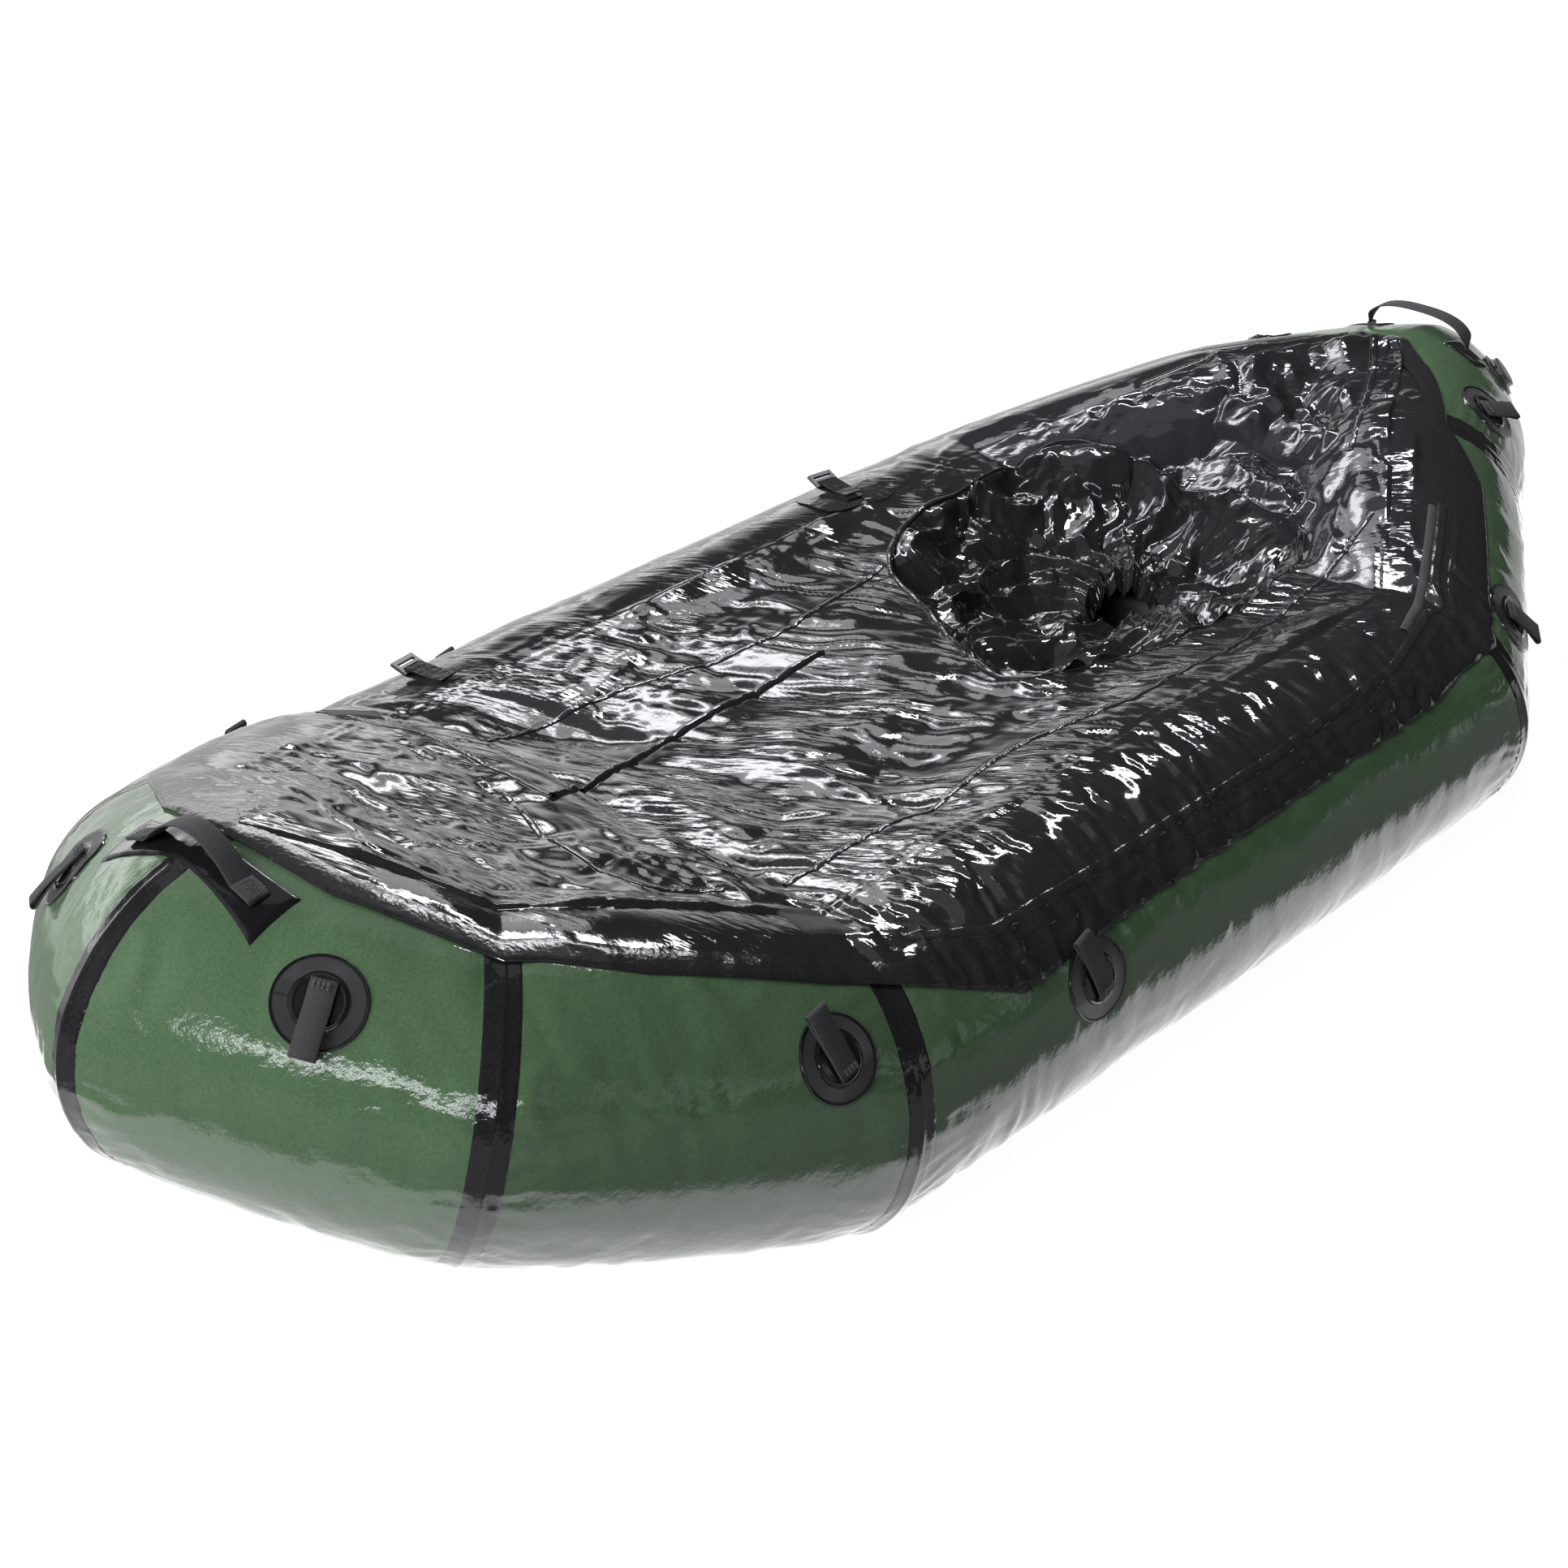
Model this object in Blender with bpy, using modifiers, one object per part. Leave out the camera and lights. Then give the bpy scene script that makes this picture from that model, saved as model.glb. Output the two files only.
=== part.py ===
"""Packraft: a one-person inflatable boat with a spray deck.

A ring of inflated tube panels, mitred and taped at their seams, carries a floor sheet, a fixed bow
and stern deck, a deck panel that opens to starboard with its spray skirt, two grab handles, round
lashing patches with webbing loops, two strap anchors, a seat, a backrest and two air valves.
Metres, +X to the bow, +Y to port, +Z up, origin on the ground under the middle of the boat.
"""

import math

import bmesh
import bpy
import numpy as np
from mathutils import Matrix, Vector
from mathutils.bvhtree import BVHTree

# Hull sizes
LENGTH = 2.35
HULL_W = 0.942
BOW_TUBE_D = 0.330
FORE_TUBE_D = 0.320
AFT_TUBE_D = 0.306
BOW_RISE = 0.167
SHOULDER_RISE = 0.095
QUARTER_RISE = 0.088
STERN_RISE = 0.096
STERN_CROTCH = 0.415
PANEL_T = 0.0006
TAPE_W = 0.035
TAPE_T = 0.0005
FLOOR_T = 0.0010
GAP = 0.0003
HATCH_GAP = 0.0012

# How far each kind of panel swells out between its seams when the tube is blown up
BOW_SWELL = 0.016
SHOULDER_SWELL = 0.016
SIDE_SWELL = 0.004
QUARTER_SWELL = 0.006

# Deck sizes
DECK_T = 0.0008
DECK_SAG = 0.016
STERN_SAG = 0.034
DECK_DRAPE = 0.003
SPLIT_BACK = 0.0652
HATCH_PAST = 0.1195
SKIRT_T = 0.0008
SKIRT_WAIST_L = 0.190
SKIRT_WAIST_W = 0.170
SKIRT_WAIST_X = -0.385
SKIRT_WAIST_Y = 0.005
SKIRT_WAIST_Z = 0.236
SKIRT_FOLD = 0.006
SKIRT_INSET = 0.0012
SKIRT_CLEAR = 0.004
SKIRT_FOLDS = 12
SKIRT_STEPS = 48

# Webbing, patches and fittings
WEB_W = 0.025
WEB_T = 0.0018
PATCH_D = 0.087
PATCH_T = 0.0010
PATCH_BOSS_D = 0.046
PATCH_BOSS_H = 0.0006
LOOP_L = 0.066
LOOP_RISE = 0.0040
LOOP_EYE_R = 0.0030
LOOP_PLY_GAP = 0.0006
BOW_PATCH_L = 0.204
BOW_PATCH_END_W = 0.058
BOW_PATCH_WAIST_W = 0.040
BOW_HANDLE_L = 0.166
BOW_HANDLE_H = 0.034
BOW_HANDLE_TAB = 0.024
BOW_HANDLE_BACK = 0.171
STERN_HANDLE_L = 0.145
STERN_HANDLE_H = 0.034
STERN_HANDLE_BACK = 0.163
STERN_PAD_L = 0.052
STERN_PAD_W = 0.040
STERN_FOOT_R = 0.0040
STERN_FLARE_H = 0.0140
ANCHOR_L = 0.108
ANCHOR_W = 0.074
ANCHOR_T = 0.0012
ANCHOR_CORNER_R = 0.018
ANCHOR_TAB_L = 0.030
BUCKLE_W = 0.034
BUCKLE_L = 0.022
BUCKLE_T = 0.0040
BUCKLE_SLOT = 0.0042
BUCKLE_SIDE = 0.0040
BUCKLE_PLAY = 0.0013

# Seat, backrest and valves
SEAT_L = 0.360
SEAT_W = 0.260
SEAT_H = 0.075
SEAT_X = -0.340
BACK_W = 0.170
BACK_H = 0.125
BACK_T = 0.040
BACK_X = -0.473
BACK_CURVE = 0.012
VALVE_FLANGE_D = 0.060
VALVE_FLANGE_T = 0.0016
VALVE_NECK_D = 0.036
VALVE_NECK_H = 0.0045
VALVE_BORE_D = 0.026
VALVE_CAP_D = 0.042
VALVE_CAP_T = 0.0022
VALVE_STRAP_REACH = 0.0270
VALVE_STRAP_W = 0.012
VALVE_STRAP_T = 0.0024
TOPUP_FLANGE_D = 0.036
TOPUP_FLANGE_T = 0.0016
TOPUP_POST_D = 0.0070
TOPUP_POST_H = 0.0150
TOPUP_COLLAR_D = 0.0180
TOPUP_COLLAR_H = 0.0100
TOPUP_LIP_D = 0.0130
TOPUP_H = 0.0240
TOPUP_WALL = 0.0020
TOPUP_WING_L = 0.0260
TOPUP_WING_W = 0.0040

# Mesh steps
AROUND = 28
FINE_AROUND = 84
FINE_STEPS = 8
TUBE_STEPS = 6
FLAP_STEPS = 4
PATCH_STEPS = 16
SPAN_STEPS = 6
RELAX_ROUNDS = 90
HALVINGS = 30
NUDGE = 1e-4
WELD = 1e-6

# Outline of the tube ring seen from above, outer corner of each seam from the bow to the stern,
# as shares of half the length and half the beam
SEAM_X_SHARES = (1.0, 0.826, 0.481, -0.460, -0.734, -1.0)
SEAM_Y_SHARES = (0.0, 0.667, 1.0, 0.992, 0.548, 0.0)
SEAM_D = (BOW_TUBE_D, BOW_TUBE_D, FORE_TUBE_D, AFT_TUBE_D, AFT_TUBE_D, AFT_TUBE_D)
SEAM_RISE = (BOW_RISE, SHOULDER_RISE, 0.0, 0.0, QUARTER_RISE, STERN_RISE)
SEAM_NAMES = ("bow", "shoulder", "fore", "aft", "quarter")
STERN_FULLNESS_SHARE = 0.40
STERN_STEP_SHARES = (0.30, 0.60, 0.85)
PANEL_NAMES = ("bow", "shoulder", "side", "quarter")
PANEL_SWELL = (BOW_SWELL, SHOULDER_SWELL, SIDE_SWELL, QUARTER_SWELL, 0.0)
PANEL_STEPS = (3, 3, 4, 2)
SWELL_AIM_DEG = 20.0
SWELL_SPREAD_SHARE = 0.82

# Deck weld line and flap line: ring place (panel number plus share along it) and degrees up the tube
EDGE_LINE = ((0.0, 91.0), (0.22, 87.0), (0.48, 80.0), (0.84, 79.0), (1.10, 80.0), (1.36, 68.0),
             (1.82, 64.5), (2.04, 54.5), (2.15, 36.0), (2.25, 38.6), (2.34, 39.8), (2.61, 40.5),
             (2.85, 41.0), (2.93, 46.5), (3.21, 50.5), (3.73, 53.0), (3.98, 70.0), (4.50, 87.0),
             (5.0, 96.0))
FLAP_LINE = ((2.03, 71.0), (2.15, 56.0), (2.34, 58.5), (4.0, 58.5))
CREST_DEG = 100.0
FOLD_SHARE = 0.035
BOW_ROW_PLACES = (0.0, 0.17, 0.333, 0.667, 1.0, 1.333, 1.667, 2.0)
STERN_ROW_PLACES = (3.72, 3.86, 4.0, 4.15, 4.30, 4.60, 4.85, 5.0)
CORNER_PLACES = (2.075, 2.11, 2.15, 2.25)
FLOOR_PLACES = (0.06, 1.0, 2.0, 3.0, 4.0, 4.30, 4.60, 4.94)

# Opening panel rows: share of its length from the bow edge, then where the cockpit mouth's port and
# starboard rims lie across each row (1 is the port tube's crest, -1 the starboard one)
HATCH_ROWS = (
    (0.275, 0.44, -0.20),
    (0.430, 0.42, 0.16),
    (0.515, 0.53, -0.22),
    (0.620, 0.56, -0.80),
    (0.740, 0.58, -0.86),
    (0.855, 0.55, -0.86),
    (0.930, 0.36, -0.68),
    (1.0, 0.40, -0.70),
)
AFT_SEAM_ROW = 5
MOUTH_ROWS = (1, 6)

# Spray skirt rings: share of the way in to the waist, share of the way down, share of the pleat
SKIRT_RINGS = ((0.15, 0.42, 0.5), (0.42, 0.70, 1.0), (0.72, 0.88, 1.0), (1.0, 1.0, 0.5))

# Points along the webbing, as shares
LOOP_SHARES = (0.0, 0.3, 0.6, 0.85, 1.0)
LOOP_ROOT_SHARE = 0.42
BOW_PATCH_SHARES = (-1.0, -0.8, -0.6, -0.4, -0.2, 0.0, 0.2, 0.4, 0.6, 0.8, 1.0)
HANDLE_SHARES = (-0.71, -0.60, -0.45, -0.25, 0.0, 0.25, 0.45, 0.60, 0.71)
EDGE_GAP_DEG = 0.12
PAD_PLAN_POWER = 4.0
PAD_SIDE_POWER = 4.0

# Round patches: name, ring place, degrees up the tube, and the way the loop lies, in degrees
# from straight up towards the bow
PATCHES = (
    ("bow", 0.60, 43.5, 180.0),
    ("shoulder", 1.82, 34.5, 25.0),
    ("mid", 2.25, 21.0, 20.0),
    ("quarter", 3.21, 34.0, -150.0),
    ("stern", 4.16, 50.0, -150.0),
)
ANCHORS = (("fore", 2.11), ("aft", 2.76))
ANCHOR_DEG = 84.0
BUCKLE_TILT_DEG = 24.0
SIDES = (("port", 1.0), ("starboard", -1.0))
VALVE_PLACE = 4.55
VALVE_DEG = 38.0

RIGHT_ANGLE = math.pi / 2

# Places and clearances that follow from the sizes: the opening panel starts behind the fore seam
# and ends behind the aft seam, and each handle sits back from its end of the boat
SPLIT_X = SEAM_X_SHARES[2] * LENGTH / 2 - SPLIT_BACK
HATCH_L = SPLIT_X - SEAM_X_SHARES[3] * LENGTH / 2 + HATCH_PAST
BOW_HANDLE_X = LENGTH / 2 - BOW_HANDLE_BACK
STERN_HANDLE_X = STERN_HANDLE_BACK - LENGTH / 2
KEEL_GAP = FLOOR_T + GAP + TAPE_T + GAP
FACET_SAG = BOW_TUBE_D / 2 * (1 - math.cos(math.pi / AROUND))
DECK_LIFT = GAP + TAPE_T + GAP + FACET_SAG
PATCH_LIFT = GAP + (PATCH_D / 8) ** 2 / AFT_TUBE_D
ANCHOR_LIFT = DECK_LIFT + DECK_T + GAP + FACET_SAG / 2


def clear_scene():
    """Remove what the scene held before."""
    for item in list(bpy.data.objects):
        bpy.data.objects.remove(item, do_unlink=True)
    for mesh in list(bpy.data.meshes):
        bpy.data.meshes.remove(mesh)


def new_collection(name):
    collection = bpy.data.collections.new(name)
    bpy.context.scene.collection.children.link(collection)
    return collection


def make_material(name, colour, roughness, metallic=0.0):
    """One plain finish as a Principled BSDF."""
    material = bpy.data.materials.new(name)
    material.use_nodes = True
    shader = material.node_tree.nodes["Principled BSDF"]
    shader.inputs["Base Color"].default_value = (*colour, 1.0)
    shader.inputs["Roughness"].default_value = roughness
    shader.inputs["Metallic"].default_value = metallic
    return material


def unit(vector):
    return vector / np.linalg.norm(vector)


# The tube ring
def outline_corners():
    """Outer corners of the port half, from bow to stern, as points in plan."""
    return [np.array((x * LENGTH / 2, y * HULL_W / 2)) for x, y in zip(SEAM_X_SHARES, SEAM_Y_SHARES)]


def mitre_at(corners, index):
    """Outward direction and elongation of the mitre at a corner of the closed, mirrored outline."""
    here = corners[index]
    before = corners[index - 1] if index else corners[1] * (1, -1)
    after = corners[index + 1] if index + 1 < len(corners) else corners[-2] * (1, -1)
    arrive = unit(here - before)
    leave = unit(after - here)
    along = unit(arrive + leave)
    return np.array((along[1], -along[0])), 1 / float(arrive @ along)


def build_stations():
    """Sections of the port half: outer point, inner point, radius and height of the section's middle."""
    corners = outline_corners()
    stations = []
    for index, corner in enumerate(corners[:-1]):
        outward, stretch = mitre_at(corners, index)
        radius = SEAM_D[index] / 2
        inner = corner - outward * 2 * radius * stretch
        inner[1] = max(inner[1], 0.0)
        stations.append((corner, inner, radius, SEAM_RISE[index] + radius + KEEL_GAP))
    return stations


def stern_sections(stations):
    """Sections that turn from the quarter seam to the middle of the stern."""
    outer, inner, radius, height = stations[-1]
    tip = np.array((SEAM_X_SHARES[-1] * LENGTH / 2, 0.0))
    shoulder = np.array((tip[0], outer[1] * STERN_FULLNESS_SHARE))
    crotch = np.array((tip[0] + STERN_CROTCH, 0.0))
    tip_height = STERN_RISE + radius + KEEL_GAP
    sections = []
    for share in (*STERN_STEP_SHARES, 1.0):
        rest = 1 - share
        point = rest**2 * outer + 2 * share * rest * shoulder + share**2 * tip
        inside = inner + (crotch - inner) * share
        sections.append((point, inside, radius, height + (tip_height - height) * share))
    return sections


STATIONS = build_stations()
STERN = [STATIONS[-1], *stern_sections(STATIONS)]
STERN_SHARES = (0.0, *STERN_STEP_SHARES, 1.0)


def section_point(section, angle, grow):
    """Point of an elliptical section at an angle up from its outer side, grown outward."""
    outer, inner, radius, height = section
    middle = (outer + inner) / 2
    reach = (outer - inner) / 2
    stretch = np.linalg.norm(reach) / radius
    reach = reach * (1 + grow * stretch / np.linalg.norm(reach))
    flat = middle + reach * math.cos(angle)
    return np.array((flat[0], flat[1], height + (radius + grow) * math.sin(angle)))


def panel_sections(panel, share):
    """The two sections about a place along a panel, and the share between them."""
    if panel < len(PANEL_NAMES):
        return STATIONS[panel], STATIONS[panel + 1], share
    for low, high, start, end in zip(STERN_SHARES, STERN_SHARES[1:], STERN, STERN[1:]):
        if share <= high or high == 1.0:
            return start, end, (share - low) / (high - low)
    return STERN[-2], STERN[-1], 1.0


def tube_point(panel, share, angle, grow=0.0, side=1.0):
    """Point of the tube's outer face: panel, share along it, angle in radians, growth outward.

    The panel swells by a parabola along its length, most on its outer upper side.
    """
    start, end, between = panel_sections(panel, share)
    first = section_point(start, angle, grow)
    last = section_point(end, angle, grow)
    point = first + (last - first) * between
    turned = (angle - math.radians(SWELL_AIM_DEG)) * SWELL_SPREAD_SHARE
    swell = PANEL_SWELL[panel] * 4 * share * (1 - share) * max(0.0, math.cos(turned))
    along = unit((end[0] + end[1]) - (start[0] + start[1]))
    point = point + swell * np.array((along[1] * math.cos(angle), -along[0] * math.cos(angle), math.sin(angle)))
    return point * (1.0, side, 1.0)


def panel_length(panel, angle):
    if panel < len(PANEL_NAMES):
        return float(np.linalg.norm(tube_point(panel, 1.0, angle) - tube_point(panel, 0.0, angle)))
    places = [tube_point(panel, share, angle) for share in STERN_SHARES]
    return float(sum(np.linalg.norm(b - a) for a, b in zip(places, places[1:])))


def ring_point(place, angle, grow=0.0, side=1.0):
    """Tube point by ring place, the panel number plus the share along it."""
    panel = min(int(place), len(PANEL_NAMES))
    return tube_point(panel, place - panel, angle, grow, side)


def place_at_x(x, angle):
    """Ring place where the tube's line at an angle crosses a plane square to the boat."""
    low, high = 0.0, float(len(PANEL_NAMES))
    for _ in range(HALVINGS):
        middle = (low + high) / 2
        if ring_point(middle, angle)[0] > x:
            low = middle
        else:
            high = middle
    return (low + high) / 2


def ring_tree(grow):
    """Finely divided tube ring, to drop points on."""
    points = []
    turns = [math.tau * step / FINE_AROUND for step in range(FINE_AROUND)]
    for side in (1.0, -1.0):
        places = [step / FINE_STEPS for step in range(FINE_STEPS * len(PANEL_NAMES))]
        places += [len(PANEL_NAMES) + share for share in STERN_SHARES]
        for place in places if side > 0 else places[::-1]:
            points.append([ring_point(place, angle, grow, side) for angle in turns])
    faces = []
    for i in range(len(points) - 1):
        for j in range(FINE_AROUND):
            k = (j + 1) % FINE_AROUND
            here = i * FINE_AROUND
            faces.append((here + j, here + k, here + FINE_AROUND + k, here + FINE_AROUND + j))
    return BVHTree.FromPolygons([Vector(point) for row in points for point in row], faces)


def tube_frame(place, angle, side):
    """Matrix on the tube: X along it towards the bow, Y up round it, Z out of it."""
    origin = ring_point(place, angle, 0.0, side)
    up = unit(ring_point(place, angle + NUDGE, 0.0, side) - ring_point(place, angle - NUDGE, 0.0, side))
    along = ring_point(place - NUDGE, angle, 0.0, side) - ring_point(place + NUDGE, angle, 0.0, side)
    out = unit(np.cross(up, along)) * side
    ahead = unit(along - up * (along @ up))
    matrix = Matrix.Identity(4)
    for column, axis in enumerate((ahead, up, out)):
        for row in range(3):
            matrix[row][column] = float(axis[row])
    matrix.translation = Vector(origin)
    return matrix


def level_frame(x, y):
    """Matrix over a place in plan: X to the bow, Y to port, Z up, on top of the tube."""
    hit = SURFACE.ray_cast(Vector((x, y, HULL_W)), Vector((0.0, 0.0, -1.0)))[0]
    return Matrix.Translation(hit)


def lay(frame, x, y, lift):
    """Point of the tube under a place in a frame's plane, lifted along the tube's normal."""
    out = frame.col[2].to_3d()
    start = frame @ Vector((x, y, BOW_TUBE_D / 4))
    hit, normal, _, _ = SURFACE.ray_cast(start, -out)
    if normal.dot(out) < 0:
        normal = -normal
    return np.array(hit + normal * lift)


# Meshes
def grid_mesh(name, rows, keep=None, wrap=False):
    """Quads between rows of points, where keep says so; points that meet are welded."""
    count = len(rows[0])
    mesh = bmesh.new()
    grid = [[mesh.verts.new(Vector(point)) for point in row] for row in rows]
    for i in range(len(rows) - 1):
        for j in range(count if wrap else count - 1):
            k = (j + 1) % count
            if keep is None or keep(i, j):
                mesh.faces.new((grid[i][j], grid[i + 1][j], grid[i + 1][k], grid[i][k]))
    bmesh.ops.delete(mesh, geom=[vertex for vertex in mesh.verts if not vertex.link_faces], context="VERTS")
    bmesh.ops.remove_doubles(mesh, verts=mesh.verts, dist=WELD)
    bmesh.ops.dissolve_degenerate(mesh, edges=mesh.edges, dist=WELD)
    bmesh.ops.triangulate(mesh, faces=mesh.faces, quad_method="BEAUTY")
    data = bpy.data.meshes.new(name)
    mesh.to_mesh(data)
    mesh.free()
    return data


def add_object(name, mesh, finish, collection=None, pivot=None):
    """Link a mesh as a named, smooth-shaded object with its origin on its pivot."""
    mesh.materials.append(finish)
    mesh.shade_smooth()
    item = bpy.data.objects.new(name, mesh)
    (collection or PARTS).objects.link(item)
    if pivot is not None:
        mesh.transform(Matrix.Translation(-Vector(pivot)))
        item.location = pivot
    return item


def shell(name, outer, inner, finish):
    """A thin fabric ring from its outer and inner skins."""
    mesh = grid_mesh(name, [*outer, *inner[::-1], outer[0]], None, True)
    return add_object(name, mesh, finish)


def sheet(name, rows, thickness, outward, finish, keep=None, wrap=False, pivot=None, collection=None):
    """A fabric piece: an open surface given its thickness by Solidify."""
    item = add_object(name, grid_mesh(name, rows, keep, wrap), finish, collection, pivot)
    solid = item.modifiers.new("thickness", "SOLIDIFY")
    solid.thickness = thickness
    solid.offset = 1.0 if outward else -1.0
    solid.use_even_offset = True
    return item


def closed(name, rings, finish, pivot=None, collection=None):
    """A solid from rings of points whose first and last rings shrink to a point."""
    mesh = grid_mesh(name, rings, None, True)
    solid = bmesh.new()
    solid.from_mesh(mesh)
    bmesh.ops.recalc_face_normals(solid, faces=solid.faces)
    solid.to_mesh(mesh)
    solid.free()
    return add_object(name, mesh, finish, collection, pivot)


def combine(item, other, operation):
    """EXACT boolean of an object with a helper object."""
    step = item.modifiers.new(operation.lower(), "BOOLEAN")
    step.operation = operation
    step.solver = "EXACT"
    step.object = other
    other.hide_render = True
    other.display_type = "WIRE"
    return item


def facing(rows, side):
    """Rows in the order that makes the faces point out on this side of the boat."""
    return rows if side > 0 else [row[::-1] for row in rows]


# Hull
def ring_rows(panel, shares, side, grow=0.0):
    turns = [math.tau * step / AROUND - math.pi for step in range(AROUND)]
    return [[tube_point(panel, share, angle, grow, side) for angle in turns] for share in shares]


def build_panels():
    """Nine tube panels, each a thin fabric shell open at its seams."""
    for side_name, side in SIDES:
        for panel, name in enumerate(PANEL_NAMES):
            length = panel_length(panel, RIGHT_ANGLE)
            trim = GAP / 2 / length
            tape = TAPE_W / 2 / length
            steps = PANEL_STEPS[panel]
            shares = [trim, tape, *(step / steps for step in range(1, steps)), 1 - tape, 1 - trim]
            outer = facing(ring_rows(panel, shares, side), side)
            inner = facing(ring_rows(panel, shares, side, -PANEL_T), side)
            shell(f"tube_panel_{name}_{side_name}", outer, inner, TUBE_GREEN)
    length = panel_length(4, RIGHT_ANGLE)
    shares = (GAP / 2 / length, TAPE_W / 2 / length, *STERN_SHARES[1:])
    skins = []
    for grow in (0.0, -PANEL_T):
        port = ring_rows(4, shares, 1.0, grow)
        skins.append(port + ring_rows(4, shares[:-1], -1.0, grow)[::-1])
    shell("tube_panel_stern", *skins, TUBE_GREEN)


def tape_rows(index, side, grow):
    """Rings of a seam tape: half its width before the seam, on it and half its width after."""
    after = TAPE_W / 2 / panel_length(index, RIGHT_ANGLE)
    if index == 0:
        before = ring_rows(0, (after,), -side, grow)
    else:
        before = ring_rows(index - 1, (1 - TAPE_W / 2 / panel_length(index - 1, RIGHT_ANGLE),), side, grow)
    return facing(before + ring_rows(index, (0.0, after), side, grow), side)


def build_tapes():
    """Nine seam tapes, each a band that straddles a mitre."""
    for index, name in enumerate(SEAM_NAMES):
        for side_name, side in SIDES if index else SIDES[:1]:
            label = f"seam_tape_{name}" + (f"_{side_name}" if index else "")
            shell(label, tape_rows(index, side, GAP + TAPE_T), tape_rows(index, side, GAP), TAPE_BLACK)


def build_floor():
    """Floor sheet: flat amidships, rising with the tube's underside at both ends."""
    rows = []
    for place in FLOOR_PLACES:
        edge = ring_point(place, -RIGHT_ANGLE) - (0.0, 0.0, KEEL_GAP - FLOOR_T)
        rows.append([edge * (1.0, share, 1.0) for share in (1.0, 0.5, 0.0, -0.5, -1.0)])
    sheet("floor_sheet", rows, FLOOR_T, False, FLOOR_GREY)


# Deck
def at_place(place):
    return lambda angle: place


def at_x(x):
    return lambda angle: place_at_x(x, angle)


def line_angle(where, line):
    """Angle at which a weld line, given as a table, crosses a row."""
    places, degrees = zip(*line)
    angle = math.radians(CREST_DEG / 2)
    for _ in range(4):
        angle = math.radians(float(np.interp(where(angle), places, degrees)))
    return angle


def tube_part(where, first, last, steps, side):
    """Points over the tube from one angle to another."""
    turns = [first + (last - first) * step / steps for step in range(steps + 1)]
    return [ring_point(where(angle), angle, DECK_LIFT, side) for angle in turns]


def stretch_deck(rows):
    """Heights across the cockpit for each deck row: cloth pulled taut over the tubes, then sagging."""
    tree = ring_tree(DECK_LIFT)
    crests = [ring_point(where(CREST), CREST, DECK_LIFT) for where in rows]
    shares = np.linspace(0.0, 1.0, SPAN_STEPS + 1)
    heights = np.array([[crest[2]] * len(shares) for crest in crests])
    floor = np.full_like(heights, -1.0)
    for i, crest in enumerate(crests):
        for j, share in enumerate(shares):
            start = Vector((crest[0], crest[1] * (1 - 2 * share), HULL_W))
            hit = tree.ray_cast(start, Vector((0.0, 0.0, -1.0)))[0]
            floor[i, j] = hit[2] + DECK_DRAPE if hit else -1.0
    inner = (slice(1, -1), slice(1, -1))
    for _ in range(RELAX_ROUNDS):
        around = heights[:-2, 1:-1] + heights[2:, 1:-1] + heights[1:-1, :-2] + heights[1:-1, 2:]
        heights[inner] = np.maximum(around / 4, floor[inner])
    width = np.array([crest[1] for crest in crests])[:, None]
    ahead = np.array([crest[0] for crest in crests])[:, None]
    sag = np.interp(ahead, (-HATCH_L / 2, 0.0), (STERN_SAG, DECK_SAG))
    heights -= sag * 16 * shares * (1 - shares) * (width / HULL_W) ** 2 * 4
    heights[inner] = np.maximum(heights[inner], floor[inner])
    return crests, shares, heights


def span_point(row, share):
    """Deck point between the crests of a row: share 0 at port, 1 at starboard."""
    crest = CRESTS[row]
    height = float(np.interp(share, SPAN_SHARES, HEIGHTS[row]))
    return np.array((crest[0], crest[1] * (1 - 2 * share), height))


def full_row(row):
    """A deck row from the port weld over both tubes to the starboard weld."""
    where = ROWS[row]
    edge = line_angle(where, EDGE_LINE)
    port = tube_part(where, edge, CREST, TUBE_STEPS, 1.0)
    starboard = tube_part(where, edge, CREST, TUBE_STEPS, -1.0)
    return port + [span_point(row, share) for share in SPAN_SHARES[1:-1]] + starboard[::-1]


def hatch_point(row, across):
    """Deck point on the opening panel's row: across is 1 at the port crest, -1 at the starboard one."""
    return span_point(row, (1 - across) / 2)


def fold_point(row):
    """Point of the straight fold line on which the panel opens to starboard."""
    first = span_point(FIRST_HATCH, 1 - FOLD_SHARE)
    last = span_point(FOLD_END_ROW, 1 - FOLD_SHARE)
    here = span_point(row, 1 - FOLD_SHARE)
    if here[0] < last[0]:
        return here
    return first + (last - first) * (first[0] - here[0]) / (first[0] - last[0])


def build_fixed_deck():
    """Bow deck, stern deck and the two welded side strips that frame the opening panel."""
    bow = [full_row(row) for row in range(FIRST_HATCH + 1)]
    bow[-1] = [point + (HATCH_GAP / 2, 0.0, 0.0) for point in bow[-1]]
    sheet("bow_deck", bow, DECK_T, True, DECK_BLACK)
    stern = [full_row(row) for row in range(LAST_HATCH, len(ROWS))]
    stern[0] = [point - (HATCH_GAP / 2, 0.0, 0.0) for point in stern[0]]
    sheet("stern_deck", stern, DECK_T, True, DECK_BLACK)
    port, starboard = [], []
    for row in range(FIRST_HATCH, LAST_HATCH + 1):
        where = ROWS[row]
        edge = line_angle(where, EDGE_LINE)
        flap = line_angle(where, FLAP_LINE) - math.radians(EDGE_GAP_DEG)
        port.append(shift_end(tube_part(where, edge, flap, 2, 1.0), row))
        points = tube_part(where, edge, CREST, TUBE_STEPS, -1.0)
        points.append(fold_point(row) - (0.0, HATCH_GAP / 2, 0.0))
        starboard.append(shift_end(points, row))
    sheet("deck_strip_port", port, DECK_T, True, DECK_BLACK)
    sheet("deck_strip_starboard", facing(starboard, -1.0), DECK_T, True, DECK_BLACK)


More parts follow.
